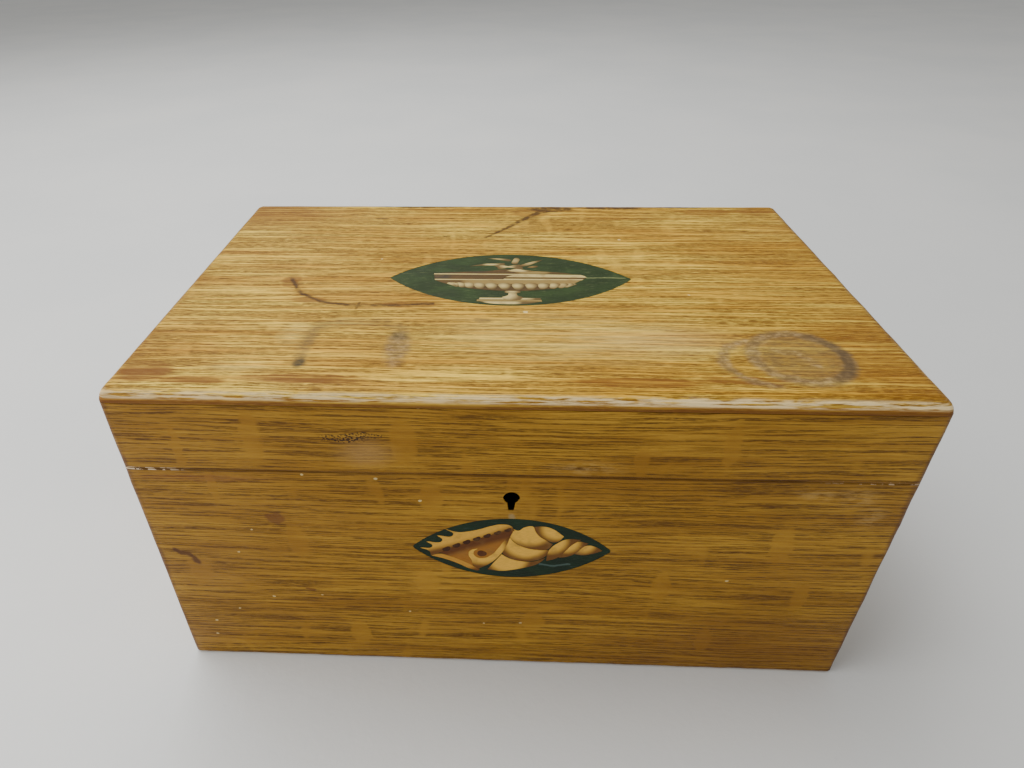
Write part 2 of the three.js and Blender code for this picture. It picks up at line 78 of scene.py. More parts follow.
def span(node):
    """The lowest and highest corner of one CAD node, in millimetres."""
    low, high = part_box(node)
    return in_mm(low), in_mm(high)


CASE_LOW, CASE_HIGH = (in_mm(corner) for corner in CAD_BOX)
SEAM = span("base_front")[1][2]
LID_RIM = span("lid_front")[0][2]
LID_WALL_TOP = span("lid_front")[1][2]
TOP_FOOT = span("lid_top")[0][2]
INNER_X = span("base_right")[0][0]
INNER_Y = -span("base_front")[1][1]
BOTTOM_LOW, BOTTOM_HIGH = span("base_bottom")
PIN_Y, PIN_Z = in_mm(frame["joints"][0]["pos_m"])[1:]

# Sizes of the small parts, as the frame has them
STOP_BEVEL = math.radians(51)
FIT = 0.3
HINGE_HALF = 19
HINGE_X = 105
KNUCKLES = 3
KNUCKLE_R = 2.4
KNUCKLE_GAP = 0.4
PIN_R = 1
PIN_PLAY = 0.15
LEAF_THICK = 1.4
LEAF_REACH = 6.8
HINGE_SCREW_SPREAD = 13
LOCK_HALF = 29
LOCK_CASE_HALF = 20
LOCK_PLATE_FOOT = 96
LOCK_CASE_FOOT = 101.5
LOCK_PLATE_THICK = 1.5
LOCK_CASE_DEEP = 6.5
SELVEDGE_WIDE = 8
SELVEDGE_THICK = 1.5
LINK_Y = -100.5
LINK_X = 10
STRIKE_HALF = 22
STRIKE_HALF_WIDE = 3
STRIKE_THICK = 1.5
LINK_DROP = 6
KEYHOLE_Z = 116.5
KEYHOLE_R = 3.2
KEYHOLE_LENGTH = 10.2
SCREW_HEAD_R = 1.5
SCREW_R = 0.8
SCREW_LENGTH = 7
VENEER_THICK = 1.1
PATERA_TIP_ROUND = 1.5
SLICE_STEP = 7
FRONT_PATERA = {"length": 88, "height": 37.6, "x": 0.5, "z": 85.6}
LID_PATERA = {"length": 121, "height": 59, "x": -1.5, "y": -3}

# Where the screws of the back, the front and the lock are looked for, as two corners
BACK_ZONE = (-165, 90, 0), (165, 106, 169)
FRONT_ZONE = (-165, -106, 0), (165, -90, 169)
LOCK_ZONE = (-40, -107, 0), (40, -90, 169)

# Light and camera
WARM_WHITE = (1.0, 0.97, 0.9)
WAX_SPECULAR = 0.2
CAMERA_PLACE = (-0.00489, -0.3161, 0.31784)
SENSOR_WIDTH = 36
ALONG_X = (0, math.pi / 2, 0)
UPRIGHT = (math.pi / 2, 0, 0)

SIDES = {
    "front": (Vector((0, -1, 0)), Vector((1, 0, 0))),
    "right": (Vector((1, 0, 0)), Vector((0, 1, 0))),
    "back": (Vector((0, 1, 0)), Vector((-1, 0, 0))),
    "left": (Vector((-1, 0, 0)), Vector((0, -1, 0))),
}


# Selecting and simple shapes

def leave_all():
    """Goes to object mode with nothing selected."""
    if bpy.context.mode != "OBJECT":
        bpy.ops.object.mode_set(mode="OBJECT")
    bpy.ops.object.select_all(action="DESELECT")


def take(piece):
    """Makes one piece the only selected and the active one."""
    leave_all()
    piece.select_set(True)
    bpy.context.view_layer.objects.active = piece


def name_piece(piece, name):
    piece.name = name
    piece.data.name = name
    return piece


def settle(piece):
    """Puts a piece's place, turn and scale into its mesh."""
    take(piece)
    bpy.ops.object.transform_apply(location=True, rotation=True, scale=True)
    return piece


def block(name, low, high):
    """A block between two corners."""
    leave_all()
    middle = [(a + b) / 2 * MM for a, b in zip(low, high)]
    size = [(b - a) * MM for a, b in zip(low, high)]
    bpy.ops.mesh.primitive_cube_add(size=1, location=middle, scale=size)
    return name_piece(settle(bpy.context.active_object), name)


def rod(name, radius, length, place, turn=(0, 0, 0), sides=32):
    """A round rod about a place, along Z unless it is turned."""
    leave_all()
    bpy.ops.mesh.primitive_cylinder_add(
        vertices=sides,
        radius=radius * MM,
        depth=length * MM,
        location=[value * MM for value in place],
        rotation=turn,
    )
    return name_piece(settle(bpy.context.active_object), name)


def copy_of(piece, name):
    """A copy with its own mesh."""
    take(piece)
    bpy.ops.object.duplicate(linked=False)
    return name_piece(bpy.context.active_object, name)


def remove(*pieces):
    leave_all()
    for piece in pieces:
        piece.select_set(True)
    bpy.ops.object.delete(use_global=False)


def moved(piece, place, turn=(0, 0, 0)):
    """Turns a piece about the origin and moves it, in its mesh."""
    piece.rotation_euler = turn
    piece.location = [value * MM for value in place]
    return settle(piece)


def apply_last_modifier(piece):
    take(piece)
    bpy.ops.object.modifier_apply(modifier=piece.modifiers[-1].name)


def add_modifier(piece, kind):
    take(piece)
    bpy.ops.object.modifier_add(type=kind)
    return piece.modifiers[-1]


def combine(piece, tool, operation):
    """Cuts a tool away from a piece or joins it on, and keeps the tool."""
    modifier = add_modifier(piece, "BOOLEAN")
    modifier.operation = operation
    modifier.solver = "EXACT"
    modifier.object = tool
    apply_last_modifier(piece)
    if not piece.data.polygons:
        raise RuntimeError(f"{piece.name} was lost when {tool.name} was used on it")
    return piece


def carve(piece, *tools):
    """Cuts each tool away from a piece, then removes the tools."""
    for tool in tools:
        combine(piece, tool, "DIFFERENCE")
    remove(*tools)
    return piece


def unite(piece, *parts):
    """Joins parts onto a piece as one solid."""
    for part in parts:
        combine(piece, part, "UNION")
    remove(*parts)
    return piece


def keep_below(piece, point, away):
    """Cuts a piece by a plane and closes it, leaving what lies behind the plane."""
    take(piece)
    bpy.ops.object.mode_set(mode="EDIT")
    bpy.ops.mesh.select_all(action="SELECT")
    bpy.ops.mesh.bisect(
        plane_co=[value * MM for value in point],
        plane_no=away,
        use_fill=True,
        clear_outer=True,
        threshold=1e-7,
    )
    bpy.ops.object.mode_set(mode="OBJECT")
    return piece


def slice_across(piece, axis, places):
    """Adds edge loops across a piece, so that wear has points to move."""
    take(piece)
    bpy.ops.object.mode_set(mode="EDIT")
    for place in places:
        point = [0, 0, 0]
        point[axis] = place * MM
        normal = [0, 0, 0]
        normal[axis] = 1
        bpy.ops.mesh.select_all(action="SELECT")
        bpy.ops.mesh.bisect(plane_co=point, plane_no=normal, threshold=1e-7)
    bpy.ops.object.mode_set(mode="OBJECT")


def evenly(low, high, step):
    """Places between two ends, about one step apart, without the ends."""
    count = max(2, round((high - low) / step))
    return [low + (high - low) * index / count for index in range(1, count)]


def round_edges(piece, width_of, widest, segments):
    """Rounds the edges that width_of gives a width, from the two ends of each edge."""
    mesh = piece.data
    weights = mesh.attributes.new("bevel_weight_edge", "FLOAT", "EDGE")
    for edge in mesh.edges:
        ends = [mesh.vertices[index].co / MM for index in edge.vertices]
        weights.data[edge.index].value = width_of(*ends) / widest
    modifier = add_modifier(piece, "BEVEL")
    modifier.limit_method = "WEIGHT"
    modifier.width = widest * MM
    modifier.segments = segments
    apply_last_modifier(piece)
    spent = piece.data.attributes.get("bevel_weight_edge")
    if spent:
        piece.data.attributes.remove(spent)


def soften(piece, width, segments=2, angle=40):
    """Takes the sharpness off every edge of a piece."""
    modifier = add_modifier(piece, "BEVEL")
    modifier.limit_method = "ANGLE"
    modifier.angle_limit = math.radians(angle)
    modifier.width = width * MM
    modifier.segments = segments
    apply_last_modifier(piece)


def face_outwards(piece):
    """Merges doubled points and turns every face outwards."""
    take(piece)
    bpy.ops.object.mode_set(mode="EDIT")
    bpy.ops.mesh.select_all(action="SELECT")
    bpy.ops.mesh.remove_doubles(threshold=2e-6)
    bpy.ops.mesh.normals_make_consistent(inside=False)
    bpy.ops.object.mode_set(mode="OBJECT")


def shade(piece, angle=32):
    """Shades round parts smooth and keeps flat parts flat."""
    take(piece)
    bpy.ops.object.shade_smooth_by_angle(angle=math.radians(angle))
    modifier = add_modifier(piece, "WEIGHTED_NORMAL")
    modifier.keep_sharp = True
    apply_last_modifier(piece)


def finish_piece(piece, body, slot, material, *nodes):
    """Gives a piece its material, hangs it on its body and hides the frame's nodes that it stands for."""
    piece.data.materials.clear()
    piece.data.materials.append(material)
    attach(piece, body)
    if nodes:
        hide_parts(*nodes)


# Finishes

def tint(red, green, blue):
    """A colour as it looks on a screen, from 0 to 255, in the numbers that a shader takes."""
    values = []
    for value in (red, green, blue):
        share = value / 255
        values.append(share / 12.92 if share <= 0.04045 else ((share + 0.055) / 1.055) ** 2.4)
    return (*values, 1.0)


class Field:
    """A number that changes over the surface, with plain arithmetic."""

    def __init__(self, finish, socket):
        self.finish = finish
        self.socket = socket

    def __add__(self, other):
        return self.finish.math("ADD", self, other)

    def __radd__(self, other):
        return self.finish.math("ADD", other, self)

    def __sub__(self, other):
        return self.finish.math("SUBTRACT", self, other)

    def __rsub__(self, other):
        return self.finish.math("SUBTRACT", other, self)

    def __mul__(self, other):
        return self.finish.math("MULTIPLY", self, other)

    def __rmul__(self, other):
        return self.finish.math("MULTIPLY", other, self)

    def size(self):
        return self.finish.math("ABSOLUTE", self)

    def fade(self, start, end):
        """Rises softly from 0 at the start to 1 at the end, or falls if the end is lower."""
        node = self.finish.node("ShaderNodeMapRange")
        node.interpolation_type = "SMOOTHSTEP"
        self.finish.feed(node.inputs["Value"], self)
        node.inputs["From Min"].default_value = start
        node.inputs["From Max"].default_value = end
        return Field(self.finish, node.outputs["Result"])


class Finish:
    """A material built from places on the piece, in millimetres."""

    def __init__(self, name):
        self.material = bpy.data.materials.new(name)
        self.material.use_nodes = True
        self.shader = self.material.node_tree.nodes["Principled BSDF"]
        self.source = self.node("ShaderNodeTexCoord")
        self.x, self.y, self.z = self.parts(self.source.outputs["Object"], 1 / MM)

    def node(self, kind):
        return self.material.node_tree.nodes.new(kind)

    def feed(self, socket, value):
        if isinstance(value, Field):
            self.material.node_tree.links.new(value.socket, socket)
        elif isinstance(value, tuple):
            socket.default_value = value[:len(socket.default_value)]
        else:
            socket.default_value = value

    def parts(self, socket, scale=1.0):
        node = self.node("ShaderNodeSeparateXYZ")
        self.material.node_tree.links.new(socket, node.inputs[0])
        return [Field(self, output) * scale for output in node.outputs]

    def normal(self):
        """The way the surface faces, as three fields."""
        return self.parts(self.source.outputs["Normal"])

    def attribute(self, name):
        """Three fields that each face of a piece keeps under a name."""
        node = self.node("ShaderNodeAttribute")
        node.attribute_name = name
        return self.parts(node.outputs["Vector"])

    def math(self, operation, *values):
        node = self.node("ShaderNodeMath")
        node.operation = operation
        for socket, value in zip(node.inputs, values):
            self.feed(socket, value)
        return Field(self, node.outputs[0])

    def least(self, values):
        found = values[0]
        for value in values[1:]:
            found = self.math("MINIMUM", found, value)
        return found

    def most(self, values):
        found = values[0]
        for value in values[1:]:
            found = self.math("MAXIMUM", found, value)
        return found

    def point(self, x, y, z=0.0):
        node = self.node("ShaderNodeCombineXYZ")
        for socket, value in zip(node.inputs, (x, y, z)):
            self.feed(socket, value)
        return Field(self, node.outputs[0])

    def vector(self, operation, *values, output="Vector"):
        node = self.node("ShaderNodeVectorMath")
        node.operation = operation
        for socket, value in zip(node.inputs, values):
            self.feed(socket, value)
        return Field(self, node.outputs[output])

    def noise(self, x, y, z=0.0, detail=2.0, roughness=0.5):
        """Cloudy noise from about 0.25 to 0.75 over three coordinates."""
        node = self.node("ShaderNodeTexNoise")
        node.inputs["Scale"].default_value = 1.0
        node.inputs["Detail"].default_value = detail
        node.inputs["Roughness"].default_value = roughness
        self.feed(node.inputs["Vector"], self.point(x, y, z))
        return Field(self, node.outputs["Fac"])

    def ragged(self, plane, step, amount):
        """The same plane with its points pushed about, for ragged edges."""
        node = self.node("ShaderNodeTexNoise")
        node.inputs["Scale"].default_value = 1 / step
        node.inputs["Detail"].default_value = 2.0
        self.feed(node.inputs["Vector"], plane)
        pushed = self.vector("SUBTRACT", Field(self, node.outputs["Color"]), (0.5, 0.5, 0.5))
        pushed = self.vector("MULTIPLY", pushed, (2 * amount, 2 * amount, 0))
        return self.vector("ADD", plane, pushed)

    def from_oval(self, plane, middle, radii):
        """Distance from an oval's middle, 1 at its edge."""
        away = self.vector("SUBTRACT", plane, (*middle, 0))
        away = self.vector("MULTIPLY", away, (1 / radii[0], 1 / radii[1], 0))
        return self.vector("LENGTH", away, output="Value")

    def from_line(self, plane, start, end):
        """Distance in millimetres from a straight line between two places."""
        run = (end[0] - start[0], end[1] - start[1], 0)
        square = run[0] ** 2 + run[1] ** 2
        away = self.vector("SUBTRACT", plane, (*start, 0))
        share = self.vector("DOT_PRODUCT", away, run, output="Value") * (1 / square)
        share = self.math("MINIMUM", self.math("MAXIMUM", share, 0.0), 1.0)
        node = self.node("ShaderNodeVectorMath")
        node.operation = "SCALE"
        node.inputs[0].default_value = run
        self.feed(node.inputs["Scale"], share)
        away = self.vector("SUBTRACT", away, Field(self, node.outputs[0]))
        return self.vector("LENGTH", away, output="Value")

    def from_path(self, plane, places):
        pairs = zip(places, places[1:])
        return self.least([self.from_line(plane, start, end) for start, end in pairs])

    def mix(self, first, second, share):
        """A colour between two others."""
        node = self.node("ShaderNodeMix")
        node.data_type = "RGBA"
        self.feed(node.inputs[0], share)
        self.feed(node.inputs[6], first)
        self.feed(node.inputs[7], second)
        return Field(self, node.outputs[2])

    def shaded(self, colour, share):
        """A colour made darker or lighter by a factor."""
        node = self.node("ShaderNodeVectorMath")
        node.operation = "SCALE"
        self.feed(node.inputs[0], colour)
        self.feed(node.inputs["Scale"], share)
        return Field(self, node.outputs[0])

    def wear(self, colour, roughness, height, depth):
        """Sets colour, roughness and bump, with the height from 0 to 1 over a depth in mm."""
        self.feed(self.shader.inputs["Base Color"], colour)
        self.feed(self.shader.inputs["Roughness"], roughness)
        bump = self.node("ShaderNodeBump")
        bump.inputs["Strength"].default_value = 1.0
        bump.inputs["Distance"].default_value = depth * MM
        self.feed(bump.inputs["Height"], height)
        self.feed(self.shader.inputs["Normal"], Field(self, bump.outputs[0]))
        return self.material


def made_once(build):
    """Builds a finish the first time and gives the same one after that.

    Its name ends in finish, because the frame has materials of its own under plain names.
    """
    def get(*details):
        name = "_".join((build.__name__, *details, "finish"))
        known = bpy.data.materials.get(name)
        return known or build(name, *details)
    return get


def oak_figure(finish, along, across, seed, pitch, bold):
    """The figure of quarter-sawn oak: its pore lines, fine lines, rays and clouds."""
    drift = finish.noise(along * 0.005, across * 0.02, seed, 1.0) * 9
    wave = finish.noise(along * 0.03, across * 0.1, seed + 3.1, 1.0) * 1.4
    level = (across + drift + wave) * (1 / pitch)
    rings = finish.noise(along * 0.013, level * 0.62, seed, 1.0).fade(0.54 - bold, 0.62 - bold)
    thin = finish.noise(along * 0.024, level * 1.25, seed + 5.7, 1.0).fade(0.52 - bold, 0.61 - bold)
    dashes = finish.noise(along * 0.2, level * 2.6, seed + 7.3, 2.0, 0.6).fade(0.38, 0.56)
    strong = finish.most([rings * 0.9, thin]) * (dashes * 0.7 + 0.3)
    fine = finish.noise(along * 0.05, level * 2.4, seed + 11.7, 2.0, 0.6).fade(0.48, 0.7)
    rays = finish.noise(along * 0.085, across * 0.03, seed + 17.9, 1.5).fade(0.64, 0.74)
    clouds = finish.noise(along * 0.012, across * 0.03, seed + 23.5, 3.0, 0.55)
    return strong, fine, rays, clouds


def patches(finish, plane, ovals):
    """One mask over several ovals, each given by its middle and radii."""
    nearest = finish.least([finish.from_oval(plane, oval[:2], oval[2:]) for oval in ovals])
    return nearest.fade(1.15, 0.75)


def specks(finish, plane, places):
    """Small splashes of paint, each given by its place and radius."""
    nearest = finish.least([
        finish.from_oval(plane, (x, y), (radius * 1.1, radius * 0.75)) for x, y, radius in places
    ])
    return nearest.fade(1.2, 0.8)


FRONT_RAYS = (
    (-106, 147, 4.6, 14), (-138, 141, 2.4, 12), (-128, 121, 2, 8), (-44, 146, 6, 12),
    (-96, 88, 5, 11), (-146, 66, 6, 9), (-34, 114, 5, 10), (-38, 62, 6, 9), (86, 146, 3.4, 12),
    (52, 137, 3, 9), (118, 92, 5, 12), (70, 62, 4.5, 11), (134, 58, 4, 10), (12, 34, 6, 8),
    (-74, 22, 5, 10), (96, 24, 4, 9),
)
FRONT_SPECKS = (
    (-57, 126, 0.8), (-39, 114, 0.8), (-116, 94, 0.6), (-125, 79, 0.6), (-114, 48, 0.7),
    (-90, 50, 0.5), (-133, 38, 0.6), (-147, 28, 0.7), (-48, 39.5, 0.6), (-149, 17, 0.7),
    (-12, 32, 0.5), (6, 33, 0.6), (99, 68, 0.7), (-37, 163.5, 0.9), (-88, 127.6, 0.6),
)


def bare_parts(finish):
    """Where a board's wood was never polished: inside, on the rims and underneath."""
    inside_x = (finish.x.size() - INNER_X).fade(0.3, -0.1)
    inside_y = (finish.y.size() - INNER_Y).fade(0.3, -0.1)
    inside = inside_x * inside_y * finish.z.fade(TOP_FOOT + 0.6, TOP_FOOT + 0.2)
    up = finish.normal()[2]
    level = up.size().fade(0.8, 0.95)
    near_seam = (finish.z - PIN_Z).size().fade(0.8, 0.4)
    under = finish.z.fade(1.6, 0.6) * (up * -1).fade(0.5, 0.9)
    return finish.most([inside, level * near_seam, under])


def varnished_oak(finish, colours, along, across, seed, pitch=0.8, bold=0.0, marks=None, bare=True):
    """Waxed oak in three colours, with marks that are laid over it and bare wood inside."""
    gold, deep, line = colours
    strong, fine, rays, clouds = oak_figure(finish, along, across, seed, pitch, bold)
    plane = finish.point(along, across)
    rough_plane = finish.ragged(plane, 5, 1.6)
    streaks = finish.noise(along * 0.01, across * (0.4 / pitch), seed + 31, 2.0, 0.6)
    bands = finish.noise(along * 0.009, across * 0.09, seed + 53, 2.0, 0.6)
    colour = finish.mix(gold, deep, clouds.fade(0.32, 0.7) * 0.6)
    colour = finish.mix(colour, deep, streaks.fade(0.42, 0.66) * 0.6)
    colour = finish.mix(colour, deep, bands.fade(0.48, 0.66) * 0.55)
    mottle = finish.noise(along * 0.25, across * (0.9 / pitch), seed + 37, 3.0, 0.6)
    colour = finish.shaded(colour, mottle * (0.5 + bold * 10) + (0.75 - bold * 5))
    ray_mask = rays
    if marks and "rays" in marks:
        ray_plane = finish.ragged(plane, 4, 2.6)
        ray_mask = finish.most([rays, patches(finish, ray_plane, marks["rays"])])
    lines = finish.most([strong, fine * 0.5]) * (1 - ray_mask * (0.62 - bold * 6))
    colour = finish.mix(colour, line, lines * (0.86 + bold))
    ray_tone = finish.mix(gold, deep, clouds.fade(0.42, 0.58) * 0.5 + 0.5)
    colour = finish.mix(colour, ray_tone, ray_mask * (0.42 - bold * 7))
    roughness = finish.noise(along * 0.02, across * 0.04, seed + 41, 2.0) * 0.3 + 0.3
    roughness = roughness + lines * 0.1
    if marks:
        colour, roughness = marks["lay"](finish, rough_plane, plane, colour, roughness)
    if bare:
        raw = bare_parts(finish)
        raw_colour = finish.mix(tint(190, 150, 90), tint(146, 106, 54), clouds.fade(0.35, 0.7))
        raw_colour = finish.mix(raw_colour, tint(106, 72, 30), lines * 0.55)
        colour = finish.mix(colour, raw_colour, raw)
        roughness = roughness + raw * 0.25
    finish.shader.inputs["Specular IOR Level"].default_value = WAX_SPECULAR
    height = (1 - lines) * 0.7 + finish.noise(along * 0.15, across * 0.9, seed + 43, 3.0) * 0.3
    return finish.wear(colour, roughness, height, 0.12)


def worn_corners(finish, colour):
    """Darkens the worn upright corners and paints shade along the foot."""
    from_x = (finish.x.size() - CASE_HIGH[0]) * -1
    from_y = (finish.y.size() - CASE_HIGH[1]) * -1
    corner = finish.most([from_x, from_y])
    blotch = finish.noise(finish.x * 0.2, finish.y * 0.2, finish.z * 0.09, 2.0)
    dark = (corner + blotch * 6).fade(7.2, 3.6)
    colour = finish.mix(colour, tint(84, 42, 20), dark * 0.75)
    # Painted shade along the foot, darker towards the floor.
    foot = (finish.z + blotch * 5).fade(6.0, 2.0)
    return finish.mix(colour, tint(70, 42, 18), foot * 0.6)


def lay_front_marks(finish, rough_plane, plane, colour, roughness):
    """What use left on the front: a rub, spots, a bruise, paint specks and worn seam edges, with painted
    light: highlights on the seam edges and shade in the seam, in the keyhole and towards the right foot.
    """
    fine_plane = finish.ragged(plane, 1.2, 0.4)
    rub = finish.from_oval(rough_plane, (-60, 140), (14, 9)).fade(1.2, 0.1)
    colour = finish.mix(colour, tint(176, 138, 82), rub * 0.5)
    pepper = finish.noise(finish.x * 1.1, finish.z * 1.5, 3.3, 2.0).fade(0.5, 0.56)
    speckled = patches(finish, rough_plane, ((-68, 147.5, 10, 2.4), (-60, 149, 9, 1.6)))
    colour = finish.mix(colour, tint(48, 28, 16), pepper * speckled * 0.95)
    spots = patches(finish, rough_plane, ((-104, 101.5, 4.6, 3.4), (-95, 54, 2.4, 0.9)))
    colour = finish.mix(colour, tint(108, 64, 20), spots * 0.75)
    redder = finish.from_oval(rough_plane, (-132, 124.5), (36, 2.4)).fade(1.2, 0.3)
    colour = finish.mix(colour, tint(120, 66, 30), redder * 0.4)
    bruise = finish.from_path(rough_plane, [(-155, 79), (-149, 76.6), (-146, 71.5)])
    colour = finish.mix(colour, tint(78, 40, 8), bruise.fade(2.2, 0.6) * 0.85)
    faded = finish.most([
        finish.from_oval(rough_plane, oval[:2], oval[2:]).fade(1.4, 0.1)
        for oval in ((142, 121, 9, 6), (126, 122, 11, 3.6), (150, 110, 6, 7), (30, 134, 16, 4))
    ])
    blotchy = finish.noise(finish.x * 0.16, finish.z * 0.5, 71.0, 3.0, 0.6).fade(0.36, 0.6)
    colour = finish.mix(colour, tint(206, 170, 100), faded * blotchy * 0.32)
    worn = finish.from_path(fine_plane, [(0.2, 106.2), (0.6, 104.6)]).fade(2.0, 0.4)
    colour = finish.mix(colour, tint(160, 148, 112), worn * 0.5)
    to_seam = (finish.z - PIN_Z).size()
    # Dirt and painted shade along the seam between base and lid.
    seam_dirt_and_shade = to_seam.fade(1.5, 0.3)
    colour = finish.mix(colour, tint(64, 34, 8), seam_dirt_and_shade * 0.55)
    # Browner towards the foot at the right, where the varnish has darkened, with painted shade that deepens
    # the right end.
    varnish_and_shade = finish.from_oval(rough_plane, (110, 12), (90, 34)).fade(1.2, 0.2)
    colour = finish.mix(colour, tint(116, 70, 24), varnish_and_shade * 0.35)
    # Painted shade: the wood inside the keyhole is made nearly black, as the hollow lies in shadow.
    keyhole_shade = finish.from_oval(finish.point(finish.x, finish.z), (0, KEYHOLE_Z - 2), (5.5, 8))
    keyhole_shade = keyhole_shade.fade(1.1, 0.95) * finish.y.fade(-106.35, -106.0)
    colour = finish.mix(colour, tint(12, 8, 4), keyhole_shade)
    colour = worn_corners(finish, colour)
    paint = specks(finish, fine_plane, FRONT_SPECKS)
    colour = finish.mix(colour, tint(226, 206, 148), paint * 0.7)
    # Painted highlight where light catches the worn seam arrises at both ends of the front.
    chipped = finish.noise(finish.x * 0.5, finish.z * 0.6, 2.7, 3.0)
    left_end = finish.x.fade(-134, -150) * chipped.fade(0.44, 0.5)
    right_end = finish.x.fade(120, 150) * chipped.fade(0.54, 0.6)
    seam_highlight = to_seam.fade(0.9, 0.4) * finish.most([left_end, right_end * 0.6])
    colour = finish.mix(colour, tint(240, 216, 180), seam_highlight * 0.9)
    return colour, roughness + paint * 0.2


def lay_side_marks(finish, rough_plane, plane, colour, roughness):
    return worn_corners(finish, colour), roughness


